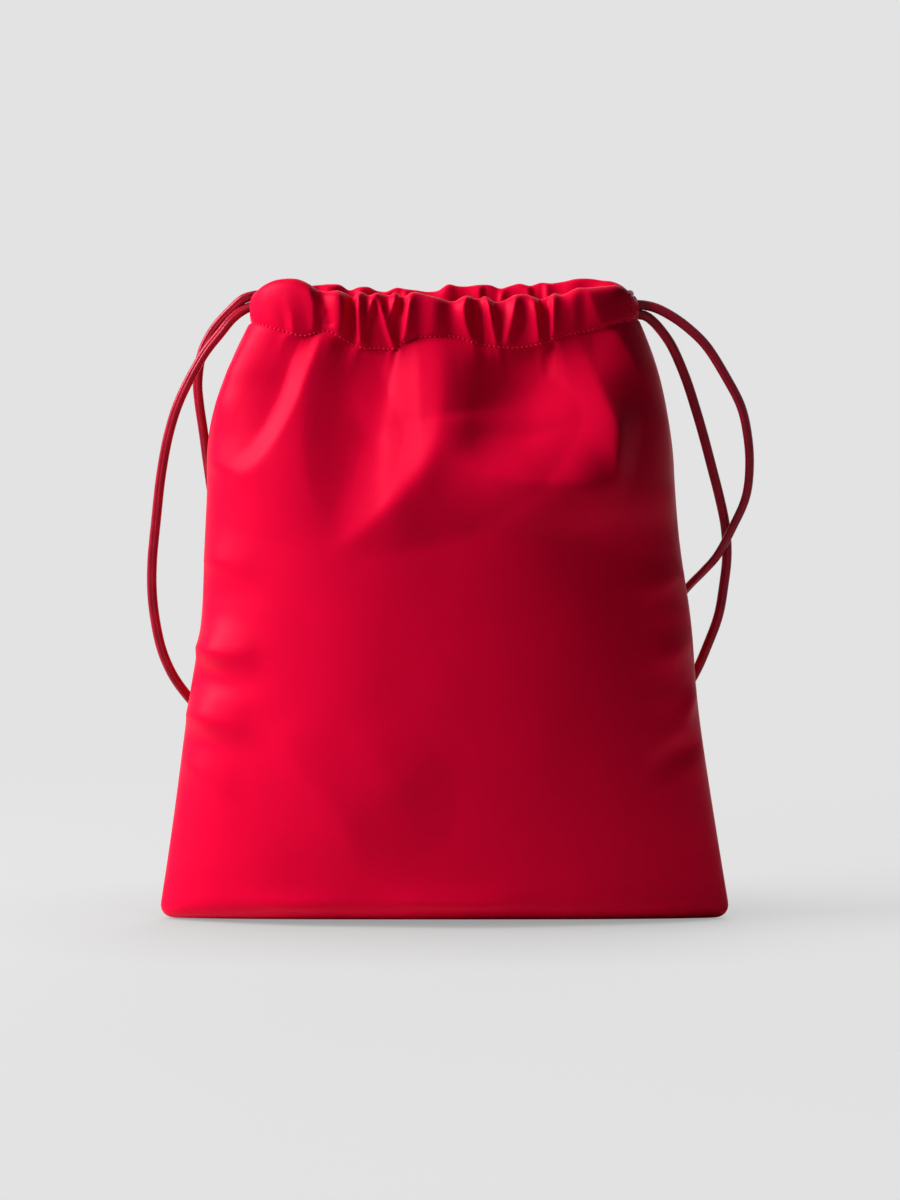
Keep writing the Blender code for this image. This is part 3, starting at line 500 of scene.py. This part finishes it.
def hem_grid(s, rim_z, stitch_z):
    """Hem before its pleats, up the outside, over the fold and down the inside, and its way outwards."""
    x, depth, out_x, out_depth = tunnel_middle(s)
    middle = (rim_z + stitch_z) / 2
    half_height = (rim_z - stitch_z) / 2
    rows = []
    for row in range(HEM_ROWS + 1):
        angle = math.radians(between(*HEM_ANGLES, row / HEM_ROWS))
        flatness = HEM_FLATNESS if angle < 0.0 or angle > math.pi else HEM_FOLD_FLATNESS
        out = (HEM_THICKNESS / 2) * math.copysign(abs(math.cos(angle)) ** flatness, math.cos(angle))
        up = math.copysign(abs(math.sin(angle)) ** HEM_FULLNESS, math.sin(angle))
        rows.append((x + out * out_x, depth + out * out_depth, middle + half_height * up * HEM_RISE))
    # the hem's inner edge is sewn to the back of the body, along the stitching
    lowest = rows[-1][2]
    for t in INNER_EDGE_STEPS:
        out = between(*INNER_EDGE_OUT, t)
        z = between(lowest, stitch_z - INNER_EDGE_DROP, t)
        rows.append((x + out * out_x, depth + out * out_depth, z))
    outward = np.stack([out_x, out_depth, np.zeros_like(s)], axis=1)
    return np.stack([np.stack(row, axis=1) for row in rows]), outward


def pleat_shares():
    """How much of the pleats each row of the hem takes: all outside, little at the fold, a hollow inside."""
    facing = np.cos(np.radians(between(*HEM_ANGLES, np.arange(HEM_ROWS + 1) / HEM_ROWS)))
    outside = np.minimum(1.0, 0.1 + 1.3 * facing)
    inside = np.maximum(-0.45, 0.9 * facing)
    inner_edge = (0.0, 0.15, 0.35)
    return np.concatenate([np.where(facing > 0, outside, inside), inner_edge])


def panel_grid(side, folds, pleats, rim, stitching, seed):
    """Outside of a panel as a grid of points, and its number of rows below the hem."""
    s = across()
    hem_x = TUNNEL_HALF_LENGTH * HEM_SPAN * s
    stitch_z = smooth_through(stitching, hem_x)
    body = body_grid(s, stitch_z)
    hem, outward = hem_grid(s, smooth_through(rim, hem_x), stitch_z)

    pleat = fold_heights(np.broadcast_to(hem_x, hem.shape[:2]), hem[..., 2], pleats)
    pleat = np.maximum(PLEAT_SHARE * pleat, -PLEAT_DIP)
    share = pleat_shares()
    hem += (pleat * share[:, None] * (1.0 - np.abs(s) ** PLEAT_FADE))[..., None] * outward

    # body: folds lift the cloth along its own outward direction
    x, z = body[..., 0], body[..., 2]
    below_hem = np.maximum(stitch_z - z, 0.0)
    lift = fold_heights(x, z, folds) * (1.0 - np.exp(-below_hem / FOLD_START))
    lift += pleat[0][None, :] * share[0] * np.exp(-below_hem / PLEAT_RUN_OUT)
    lift += UNEVENNESS * smooth_noise(x, z, *UNEVEN_CELL, seed) * ease(z / UNEVEN_START)
    lift += seam_puckers(z, s, seed)
    lift *= ease((z - FOLD_FOOT[0]) / FOLD_FOOT[1]) * (1.0 - np.abs(s) ** SEAM_HOLD)
    body += lift[..., None] * grid_normals(body)
    body[..., 1] = np.maximum(body[..., 1], SEAM_GAP / 2)
    grid = np.concatenate([body, hem])
    grid[..., 1] *= side
    return grid, len(body)


def grid_normals(grid):
    """Outward unit directions of a grid whose depth points outwards along +Y."""
    normal = np.cross(np.gradient(grid, axis=1), np.gradient(grid, axis=0))
    normal *= np.sign(normal[..., 1:2] + 1e-15)
    size = np.linalg.norm(normal, axis=2, keepdims=True)
    normal = np.where(size > 1e-12, normal / np.maximum(size, 1e-12), np.array([0.0, 1.0, 0.0]))
    normal[..., 1] = np.abs(normal[..., 1])
    return normal


def seam_puckers(z, s, seed):
    """Small gathers where the side seams draw the cloth up: they run inwards from the seams and die out."""
    from_seam = (1.0 - np.abs(s))[None, :] * half_width(np.maximum(z, 0.0))
    waves = smooth_noise(np.sign(s)[None, :] * 0.5 + 0.0 * z, z, 1.0, PUCKER_PITCH, seed + 7)
    return PUCKER_HEIGHT * waves * np.exp(-from_seam / PUCKER_REACH) * ease(from_seam / PUCKER_START)


def mesh_object(name, points, faces, material):
    mesh = bpy.data.meshes.new(name)
    mesh.from_pydata([tuple(p) for p in points], [], faces)
    mesh.materials.append(material)
    mesh.shade_smooth()
    thing = bpy.data.objects.new(name, mesh)
    bpy.context.scene.collection.objects.link(thing)
    return thing


def panel(name, side, folds, pleats, rim, stitching, seed, material):
    """A panel as one sheet of cloth, with the cloth's own thickness."""
    grid, tall = panel_grid(side, folds, pleats, rim, stitching, seed)
    rows, wide = grid.shape[:2]
    faces = []
    for r in range(rows - 1):
        for c in range(wide - 1):
            a = r * wide + c
            quad = (a, a + 1, a + wide + 1, a + wide)
            faces.append(quad if side == FRONT else quad[::-1])
    cloth = mesh_object(name, grid.reshape(-1, 3), faces, material)
    thick = cloth.modifiers.new("cloth thickness", "SOLIDIFY")
    thick.thickness = CLOTH
    thick.offset = -1.0
    return cloth, grid, tall


# Materials


def node(tree, kind, values=None, links=None):
    """A new node, its inputs set to values or linked to another node and the name of its output."""
    made = tree.nodes.new("ShaderNode" + kind)
    for name, value in (values or {}).items():
        made.inputs[name].default_value = value
    for name, (source, output) in (links or {}).items():
        tree.links.new(source.outputs[output], made.inputs[name])
    return made


def principled(name, values):
    material = bpy.data.materials.new(name)
    material.use_nodes = True
    tree = material.node_tree
    shader = tree.nodes["Principled BSDF"]
    for socket, value in values.items():
        shader.inputs[socket].default_value = value
    return material, tree, shader


def varied_colour(tree, shader, noise, colour, low, high):
    """A noise varies the base colour: low and high are a place on the noise and the share of the colour."""
    shade = node(tree, "ValToRGB", links={"Fac": (noise, "Fac")})
    for element, (position, share) in zip(shade.color_ramp.elements, (low, high)):
        element.position = position
        element.color = (*(c * share for c in colour), 1.0)
    tree.links.new(shade.outputs["Color"], shader.inputs["Base Color"])


def satin_nylon(name, colour):
    """Satin nylon: deep even colour, a soft sheen, a very fine weave, and a faint painted sheen mottled into
    its colour.
    """
    material, tree, shader = principled(name, {
        "Roughness": 0.44,
        "Specular IOR Level": 0.11,
        "Specular Tint": (1.0, 0.08, 0.26, 1.0),
        "Sheen Weight": 0.02,
        "Sheen Roughness": 0.35,
        "Sheen Tint": (1.0, 0.05, 0.16, 1.0),
    })
    place = {"Vector": (node(tree, "TexCoord"), "Object")}
    # painted sheen: a noise mottles the base colour slightly darker in places, for uneven sheen across the
    # cloth
    painted_sheen_mottle = node(tree, "TexNoise", {"Scale": 24.0, "Detail": 3.0}, place)
    varied_colour(tree, shader, painted_sheen_mottle, colour, (0.25, 0.93), (0.75, 1.0))
    weave = node(tree, "TexWave", {"Scale": 2600.0, "Distortion": 1.5}, place)
    weave.wave_type = "BANDS"
    weave.bands_direction = "DIAGONAL"
    crinkle = node(tree, "TexNoise", {"Scale": 190.0, "Detail": 4.0}, place)
    fine = node(tree, "Bump", {"Strength": 0.08, "Distance": 0.0001}, {"Height": (weave, "Fac")})
    links = {"Height": (crinkle, "Fac"), "Normal": (fine, "Normal")}
    soft = node(tree, "Bump", {"Strength": 0.10, "Distance": 0.0006}, links)
    tree.links.new(soft.outputs["Normal"], shader.inputs["Normal"])
    return material


def leather(name, colour):
    """Smooth dyed leather with a fine grain and a faintly uneven, stained colour."""
    material, tree, shader = principled(name, {
        "Roughness": 0.28,
        "Specular IOR Level": 0.45,
        "Specular Tint": (1.0, 0.28, 0.37, 1.0),
    })
    place = {"Vector": (node(tree, "TexCoord"), "Object")}
    grain = node(tree, "TexVoronoi", {"Scale": 1500.0}, place)
    stain = node(tree, "TexNoise", {"Scale": 130.0, "Detail": 5.0}, place)
    varied_colour(tree, shader, stain, colour, (0.3, 0.72), (0.7, 1.15))
    bump = node(tree, "Bump", {"Strength": 0.10, "Distance": 0.00008}, {"Height": (grain, "Distance")})
    tree.links.new(bump.outputs["Normal"], shader.inputs["Normal"])
    return material


def thread(name, colour):
    """Dull sewing thread."""
    return principled(name, {
        "Base Color": (*colour, 1.0),
        "Roughness": 0.55,
        "Specular IOR Level": 0.2,
        "Specular Tint": (1.0, 0.2, 0.3, 1.0),
    })[0]


# Leather drawstrings. Free runs, from the slit to the knot, in millimetres, as in the solids.
LEFT_FRONT_RUN = (
    (-98.5, 0, 302), (-104.5, -1.2, 297.5), (-110.3, -2.2, 290.5), (-117.7, -3, 281.2),
    (-123.7, -3.2, 271.3), (-131.1, -2.2, 256.4), (-136, -1, 241.5), (-140, 0.2, 221.7), (-143, 1.6, 196.9),
    (-145, 2.8, 177.1), (-145.2, 3.8, 162.2), (-143.7, 5, 147.4), (-140.5, 6.6, 132.5),
    (-135.3, 8.8, 120.1), (-127.8, 13.4, 108.8), (-118.2, 23.6, 97),
)
LEFT_BACK_RUN = (
    (-99, 0.3, 307.2), (-105.3, 2.2, 301.8), (-113.7, 3.4, 292.5), (-119.7, 4, 281.2), (-122.2, 4.4, 266.3),
    (-121.6, 5, 256.4), (-119.6, 6.4, 241.5), (-117.8, 10, 225.7), (-115.4, 16.8, 205), (-112.4, 22.2, 180),
    (-109, 27.2, 150), (-106, 30.4, 120), (-104.4, 33.4, 101),
)
RIGHT_FRONT_RUN = (
    (98.5, 0, 304), (104.5, -1, 302.5), (113, -2, 298), (120.9, -2.4, 292.1), (128.9, -2.4, 284.2),
    (138.8, -2, 268.8), (146.5, -1.4, 253.9), (149.9, -0.6, 239.1), (150.9, 0.2, 224.2),
    (149.2, 1.2, 209.3), (143, 3, 194.5), (135.1, 5.6, 179.6), (128.9, 8.6, 172.2), (121.5, 14, 164),
    (113, 21.8, 152), (105.2, 27.6, 135), (100.2, 32, 115), (98.4, 35.6, 96.5),
)
RIGHT_BACK_RUN = (
    (98.5, 0.6, 299), (102.5, 2.2, 296.5), (107.2, 4, 291.5), (112.3, 5.2, 284.2), (119.2, 6.4, 268.8),
    (124.2, 7, 253.9), (128.6, 7.4, 239.1), (132.6, 7.8, 224.2), (136.5, 8.2, 209.3), (139.6, 8.8, 194.5),
    (140.5, 9.4, 179.6), (139, 10, 164.7), (136.5, 10.8, 149.9), (131.3, 13, 135), (125.1, 17, 120.1),
    (117.5, 23.2, 107.5), (109.5, 30, 93),
)
LEFT_KNOT = (-0.1040, 0.0350, 0.0840)
RIGHT_KNOT = (0.0980, 0.0374, 0.0785)
KNOT_RADII = (0.0072, 0.0062, 0.0085)

# Section of a cord: a strip of leather folded round and glued, with its edge as a fine groove
CORD_WIDE = 0.0049
CORD_THIN = 0.0039
CORD_SIDES = 28
GROOVE_DEPTH = 0.00035
GROOVE_WIDTH = 0.22  # in radians
GROOVE_PLACE = 0.42 * math.pi
KNOT_CLEARANCE = 0.0003  # a strand's path ends this far outside the knot's rounded outline


def cord_section():
    """Radius of the cord's section for each of its sides, going round."""
    section = []
    for k in range(CORD_SIDES):
        angle = 2 * math.pi * k / CORD_SIDES
        radius = (CORD_WIDE / 2) * (CORD_THIN / 2) / math.hypot(
            CORD_THIN / 2 * math.cos(angle), CORD_WIDE / 2 * math.sin(angle)
        )
        groove = math.exp(-(((angle - GROOVE_PLACE) / GROOVE_WIDTH) ** 2))
        section.append((angle, radius - GROOVE_DEPTH * groove))
    return section


def tube_faces(rings, sides, first=0):
    """Faces of a closed tube of rings of points, which are numbered on from first."""
    faces = []
    for i in range(rings - 1):
        for k in range(sides):
            a = first + i * sides + k
            b = first + i * sides + (k + 1) % sides
            faces.append((a, b, b + sides, a + sides))
    faces.append(tuple(first + k for k in range(sides))[::-1])
    faces.append(tuple(first + (rings - 1) * sides + k for k in range(sides)))
    return faces


def tube(name, path, twist=0.0):
    """A leather cord along a path: its section keeps facing the same way, apart from a slow twist."""
    path = [Vector(p) for p in path]
    section = cord_section()
    points = []
    up = Vector((0.0, -1.0, 0.0))
    for i, here in enumerate(path):
        ahead = path[min(i + 1, len(path) - 1)] - path[max(i - 1, 0)]
        ahead.normalize()
        up = (up - ahead * up.dot(ahead)).normalized()
        side = ahead.cross(up)
        turn = twist * i / (len(path) - 1)
        for angle, radius in section:
            a = angle + turn
            points.append(here + side * (radius * math.cos(a)) + up * (radius * math.sin(a)))
    return mesh_object(name, points, tube_faces(len(path), len(section)), cord_leather)


def dress(piece, node_name):
    """Hides the solid that a piece replaces, and hangs the piece on the root body."""
    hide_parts(node_name)
    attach(piece, "root")


def at_knot(run, place):
    """A free run in metres, with its end taken on to its knot."""
    run = MM * np.array(run)
    last = run[-1]
    towards = np.array(place) - last
    towards /= np.linalg.norm(towards)
    offset = (last - np.array(place)) / KNOT_RADII
    slope = towards / KNOT_RADII
    half = float(offset @ slope)
    steep = float(slope @ slope)
    reach = (-half - math.sqrt(half**2 - steep * (float(offset @ offset) - 1.0))) / steep
    return list(run) + [last + towards * (reach - KNOT_CLEARANCE)]


red = (0.80, 0.0008, 0.036)
cloth_front = satin_nylon("satin nylon front", red)
cloth_back = satin_nylon("satin nylon back", red)
cord_leather = leather("red leather", (0.40, 0.007, 0.026))
sewing_thread = thread("red sewing thread", (0.90, 0.012, 0.060))

front, front_grid, front_tall = panel(
    "front_cloth", FRONT, FRONT_FOLDS, FRONT_PLEATS, FRONT_RIM, FRONT_STITCHING, 11, cloth_front
)
back, back_grid, back_tall = panel(
    "back_cloth", BACK, BACK_FOLDS, BACK_PLEATS, BACK_RIM, BACK_STITCHING, 23, cloth_back
)
dress(front, "front_panel")
dress(back, "back_panel")

PATH_STEP = 0.0022
HIDDEN_START = 0.96  # each free strand starts at this share of the tunnel's length, inside the hem
TUNNEL_STATIONS = (-0.995, -0.96, -0.88, -0.72, -0.5, -0.25, 0.0, 0.25, 0.5, 0.72, 0.88, 0.96, 0.995)


def hem_middle(s, droop):
    return HEM_MIDDLE - droop * (1.0 - s * s)


def tunnel_run(side, droop, start_level, end_level):
    """Points of a cord through one tunnel, from the left slit to the right one."""
    s = np.array(TUNNEL_STATIONS)
    x, depth, _, _ = tunnel_middle(s)
    level = between(start_level, end_level, ease((s + 1.0) / 2.0))
    return [(float(a), float(side * b), float(c)) for a, b, c in zip(x, depth, hem_middle(s, droop) + level)]


def slit_turn(end, side, level):
    return (end * (TUNNEL_HALF_LENGTH + TURN_OUT), side * TURN_SIDE, HEM_MIDDLE + level)


def free_strand(name, node_name, end, side, droop, level, run, knot_place, twist):
    """The stretch of a drawstring from inside the hem to its knot."""
    x, depth, _, _ = tunnel_middle(np.array(end * HIDDEN_START))
    start = (float(x), float(side * depth), float(hem_middle(HIDDEN_START, droop)) + level)
    exit_point = slit_turn(end, side, level)
    path = smooth_curve([start, exit_point] + at_knot(run, knot_place), PATH_STEP)
    strand = tube(name, path, twist)
    dress(strand, node_name)


def hidden_strand(name, node_name, end, front_level, back_level):
    """The stretch of a drawstring inside both tunnels, which crosses the far slit at the back's level."""
    levels = (front_level, back_level)
    front = tunnel_run(FRONT, FRONT_DROOP, *(levels if end == LEFT else levels[::-1]))
    back = tunnel_run(BACK, BACK_DROOP, back_level, back_level)
    if end == RIGHT:
        front, back = front[::-1], back[::-1]
    bridge = (-end * TUNNEL_HALF_LENGTH, 0.0, HEM_MIDDLE + back_level)
    path = smooth_curve(front[1:] + [bridge] + back[1:][::-1], PATH_STEP)
    dress(tube(name, path), node_name)


# Knots: both strands of a drawstring, tied in one overhand knot with two short tails
WRAP_TURNS = 2.4
WRAP_START = 0.6  # in radians
WRAP_POINTS = 72
WRAP_RADIUS = 0.0041
WRAP_DEPTH = 0.93  # of its width
WRAP_HEIGHT = 0.0098
WRAP_TUCK = 0.16  # share of the wrap at each end that winds in
WRAP_SWAY = 0.0004
STUB_HALF_LENGTH = 0.0068
STUB_OFFSET = 0.0006
TAIL_TOP = (0.0012, -0.0035)  # sideways and up from the knot's middle
TAIL_END = (0.0063, -0.029475)
TAIL_BEND = 0.0009
TAIL_TWIST = 0.7


def knot(name, place, node_name, handed):
    """Wraps of cord round the two strands, the strands' stub inside, and the two tails below."""
    place = np.array(place)
    wrap = []
    for i in range(WRAP_POINTS + 1):
        t = i / WRAP_POINTS
        angle = handed * (2 * math.pi * WRAP_TURNS * t + WRAP_START)
        # the wrap starts and ends inside the knot
        spread = WRAP_RADIUS * between(0.25, 1.0, float(ease(min(t, 1.0 - t) / WRAP_TUCK)))
        x, y = spread * math.cos(angle), WRAP_DEPTH * spread * math.sin(angle)
        wrap.append(place + np.array((x, y, WRAP_HEIGHT * (0.5 - t) + WRAP_SWAY * math.sin(3.1 * angle))))
    whole = tube(name, wrap, 0.8)
    heights = np.linspace(STUB_HALF_LENGTH, -STUB_HALF_LENGTH, 8)
    stub = [place + np.array((STUB_OFFSET, 0.0, height)) for height in heights]
    inner = [tube(name + "_stub", stub)]
    for lean in (-1.0, 1.0):
        top, low = (place + np.array((lean * out, 0.0, up)) for out, up in (TAIL_TOP, TAIL_END))
        bend = np.array((lean * TAIL_BEND, 0.0, 0.0))
        line = [top, between(top, low, 0.35) + bend, between(top, low, 0.7) + bend * 0.6, low]
        inner.append(tube(name + "_tail", smooth_curve(line, PATH_STEP), lean * TAIL_TWIST))
    joined = bmesh.new()
    for piece in [whole] + inner:
        joined.from_mesh(piece.data)
    joined.to_mesh(whole.data)
    joined.free()
    whole.data.shade_smooth()
    for piece in inner:
        bpy.data.objects.remove(piece)
    dress(whole, node_name)
    return whole


left_knot = knot("left_tied_knot", LEFT_KNOT, "left_knot", 1.0)
right_knot = knot("right_tied_knot", RIGHT_KNOT, "right_knot", -1.0)
for name, side, droop, level, run, twist in (
    ("left_front_strand", FRONT, FRONT_DROOP, LEVEL_MIDDLE, LEFT_FRONT_RUN, 0.9),
    ("left_back_strand", BACK, BACK_DROOP, LEVEL_HIGH, LEFT_BACK_RUN, -1.6),
):
    free_strand(name, "left_drawstring", LEFT, side, droop, level, run, LEFT_KNOT, twist)
for name, side, droop, level, run, twist in (
    ("right_front_strand", FRONT, FRONT_DROOP, LEVEL_MIDDLE, RIGHT_FRONT_RUN, 1.4),
    ("right_back_strand", BACK, BACK_DROOP, LEVEL_LOW, RIGHT_BACK_RUN, -0.8),
):
    free_strand(name, "right_drawstring", RIGHT, side, droop, level, run, RIGHT_KNOT, twist)
hidden_strand("left_channel_strand", "left_drawstring", LEFT, LEVEL_MIDDLE, LEVEL_HIGH)
hidden_strand("right_channel_strand", "right_drawstring", RIGHT, LEVEL_MIDDLE, LEVEL_LOW)


# Stitches along the hem
STITCH_PITCH = 0.0023
STITCH_LENGTH = 0.0015
STITCH_RADIUS = 0.00036
STITCH_TIP = 0.00003
STITCH_POINTS = 7
STITCH_SIDES = 6
FREE_COLUMNS = 6  # left without stitches at each end of the hem
OUTSIDE_ROW = 14  # a row on the hem's outside
END_ROWS = slice(2, 22)  # rows of the hem that the short line of stitches crosses
END_ROW_PLACE = 0.0915


def stitch_row(points, outward):
    """Points and faces of small rounded stitches along a line on the cloth."""
    run = np.concatenate([[0.0], np.cumsum(np.linalg.norm(np.diff(points, axis=0), axis=1))])
    vertices, faces = [], []
    at = STITCH_PITCH
    while at < run[-1] - STITCH_PITCH:
        spans = np.linspace(at - STITCH_LENGTH / 2, at + STITCH_LENGTH / 2, STITCH_POINTS)
        line = np.stack([np.interp(spans, run, points[:, k]) for k in range(3)], axis=1)
        out = np.array([np.interp(at, run, outward[:, k]) for k in range(3)])
        out /= np.linalg.norm(out)
        ahead = line[-1] - line[0]
        ahead /= np.linalg.norm(ahead)
        side = np.cross(ahead, out)
        faces += tube_faces(STITCH_POINTS, STITCH_SIDES, len(vertices))
        for u, here in zip(np.linspace(-1.0, 1.0, STITCH_POINTS), line):
            # the thread rises out of the cloth, runs along it and dives back in
            radius = STITCH_RADIUS * (1.0 - u**6) ** 0.5 + STITCH_TIP
            lift = STITCH_RADIUS * (1.15 * (1.0 - u**4) - 0.5)
            for k in range(STITCH_SIDES):
                a = 2 * math.pi * k / STITCH_SIDES
                vertices.append(here + out * (lift + radius * math.sin(a)) + side * (radius * math.cos(a)))
        at += STITCH_PITCH
    return vertices, faces


def hem_stitches(name, grid, tall, end):
    """The row of stitches that closes the hem, and the short row across one of its ends."""
    normal = np.cross(np.gradient(grid, axis=1), np.gradient(grid, axis=0))
    normal /= np.maximum(np.linalg.norm(normal, axis=2, keepdims=True), 1e-12)
    hem, outward = grid[tall:], normal[tall:]
    middle = grid.shape[1] // 2
    if outward[OUTSIDE_ROW, middle, 1] * hem[OUTSIDE_ROW, middle, 1] < 0:
        outward = -outward
    x = hem[OUTSIDE_ROW, :, 0]
    columns = np.where((x * end > 0) & (np.abs(x) < END_ROW_PLACE))[0]
    c = columns[0] if end == LEFT else columns[-1]
    vertices, faces = [], []
    for place in ((0, slice(FREE_COLUMNS, -FREE_COLUMNS)), (END_ROWS, c)):
        new_vertices, new_faces = stitch_row(hem[place], outward[place])
        faces += [tuple(i + len(vertices) for i in f) for f in new_faces]
        vertices += new_vertices
    row = mesh_object(name, vertices, faces, sewing_thread)
    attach(row, "root")


hem_stitches("front_hem_stitches", front_grid, front_tall, RIGHT)
hem_stitches("back_hem_stitches", back_grid, back_tall, LEFT)


# Floor, light and camera
BACKGROUND = 0.768
WORLD_STRENGTH = 0.02
FLOOR_COLOUR = 0.66
FLOOR_RADIUS = 2.2
FLOOR_DROP = 0.0004  # the floor lies this much below the pouch, so that the two never coincide
FLOOR_SHADED = 0.10  # the part of the floor's paleness that the light gives, so that a shadow shows softly
FLOOR_EVEN = 0.655
FADE_START = 0.20  # the floor fades into the background from here
FADE_END = 0.95
PAINTED_SHADE_REACH = 0.14  # how near to the pouch a painted contact shade darkens the floor
PAINTED_SHADE_LEVEL = 0.5  # and how pale the floor stays where that painted shade is darkest
AIM = Vector((0.0, 0.0, 0.16))


def grey(level):
    return (level, level, level, 1.0)


def floor():
    """A pale floor that fades into the background away from the pouch: it keeps the pouch's real shadow, and
    a painted contact shade darkens it near the pouch.
    """
    disc = bmesh.new()
    bmesh.ops.create_circle(disc, cap_ends=True, segments=96, radius=FLOOR_RADIUS)
    mesh = bpy.data.meshes.new("floor")
    disc.to_mesh(mesh)
    disc.free()
    material, tree, shader = principled("pale floor", {
        "Base Color": grey(FLOOR_COLOUR),
        "Roughness": 0.9,
        "Specular IOR Level": 0.0,
    })
    shaded = node(tree, "BsdfDiffuse", {"Color": grey(FLOOR_SHADED)})
    # painted contact shade: ambient occlusion dims the floor's even glow near the pouch, standing in for
    # shade
    close = node(tree, "AmbientOcclusion", {"Distance": PAINTED_SHADE_REACH})
    painted_contact_shade = node(tree, "MapRange", {"To Min": PAINTED_SHADE_LEVEL, "To Max": 1.0}, {"Value": (close, "AO")})
    even = node(tree, "Emission", {"Color": grey(FLOOR_EVEN)}, {"Strength": (painted_contact_shade, "Result")})
    seen = node(tree, "AddShader", links={0: (shaded, "BSDF"), 1: (even, "Emission")})
    camera_ray = (node(tree, "LightPath"), "Is Camera Ray")
    surface = node(tree, "MixShader", links={"Fac": camera_ray, 1: (shader, "BSDF"), 2: (seen, "Shader")})
    away = node(tree, "VectorMath", links={0: (node(tree, "TexCoord"), "Object")})
    away.operation = "LENGTH"
    span = {"From Min": FADE_START, "From Max": FADE_END, "To Min": 1.0, "To Max": 0.0}
    fade = node(tree, "MapRange", span, {"Value": (away, "Value")})
    fade.interpolation_type = "SMOOTHSTEP"
    clear = node(tree, "BsdfTransparent")
    mix = node(tree, "MixShader", links={"Fac": (fade, "Result"), 1: (clear, "BSDF"), 2: (surface, "Shader")})
    tree.links.new(mix.outputs["Shader"], tree.nodes["Material Output"].inputs["Surface"])
    mesh.materials.append(material)
    thing = bpy.data.objects.new("floor", mesh)
    thing.location.z = -FLOOR_DROP
    bpy.context.scene.collection.objects.link(thing)


def world():
    """Faint even light, and a plain background for what the camera sees, mirrors or looks through."""
    studio = bpy.data.worlds.new("studio")
    bpy.context.scene.world = studio
    studio.use_nodes = True
    tree = studio.node_tree
    lit = tree.nodes["Background"]
    lit.inputs["Color"].default_value = grey(1.0)
    lit.inputs["Strength"].default_value = WORLD_STRENGTH
    seen = node(tree, "Background", {"Color": grey(BACKGROUND), "Strength": 1.0})
    rays = node(tree, "LightPath")
    shown = (rays, "Is Camera Ray")
    for ray in ("Is Transmission Ray", "Is Glossy Ray"):
        largest = node(tree, "Math", links={0: shown, 1: (rays, ray)})
        largest.operation = "MAXIMUM"
        shown = (largest, "Value")
    mix = node(tree, "MixShader", links={"Fac": shown, 1: (lit, "Background"), 2: (seen, "Background")})
    tree.links.new(mix.outputs["Shader"], tree.nodes["World Output"].inputs["Surface"])


def lamp(name, place, size, power, glossy=True):
    """A soft square lamp turned towards the pouch."""
    light = bpy.data.lights.new(name, "AREA")
    light.shape = "SQUARE"
    light.size = size
    light.energy = power
    thing = bpy.data.objects.new(name, light)
    thing.location = place
    thing.rotation_euler = (AIM - Vector(place)).to_track_quat("-Z", "Y").to_euler()
    thing.visible_glossy = glossy
    bpy.context.scene.collection.objects.link(thing)


CAMERA_DISTANCE = 2.0
CAMERA_ELEVATION = math.radians(3.5)
PHOTO_WIDTH_PX, PHOTO_HEIGHT_PX = 900, 1200
METRES_PER_PIXEL = 0.0004956
FOOT_DEPTH = 0.018  # how far in front of the middle the pouch touches the floor
MIDDLE_X_PX, FLOOR_Y_PX = 444.5, 921.0  # where the pouch's middle and its foot are in the photo


def camera():
    data = bpy.data.cameras.new("camera")
    data.sensor_fit = "VERTICAL"
    data.sensor_height = 36.0
    frame_height = PHOTO_HEIGHT_PX * METRES_PER_PIXEL
    data.lens = data.sensor_height * (CAMERA_DISTANCE / frame_height)
    right = (PHOTO_WIDTH_PX / 2 - MIDDLE_X_PX) * METRES_PER_PIXEL
    foot = -FOOT_DEPTH * math.sin(CAMERA_ELEVATION)
    up = foot + (FLOOR_Y_PX - PHOTO_HEIGHT_PX / 2) * METRES_PER_PIXEL
    aim = Vector((right, 0.0, up / math.cos(CAMERA_ELEVATION)))
    thing = bpy.data.objects.new("camera", data)
    away = Vector((0.0, -math.cos(CAMERA_ELEVATION), math.sin(CAMERA_ELEVATION)))
    thing.location = aim + away * CAMERA_DISTANCE
    thing.rotation_euler = (-away).to_track_quat("-Z", "Y").to_euler()
    bpy.context.scene.collection.objects.link(thing)
    bpy.context.scene.camera = thing


floor()
world()
lamp("key", place=(-1.89, -0.40, 1.32), size=1.1, power=92.0)
lamp("back", place=(0.4, 1.7, 1.1), size=1.2, power=20.0, glossy=False)
camera()
bpy.context.scene.view_settings.view_transform = "Standard"
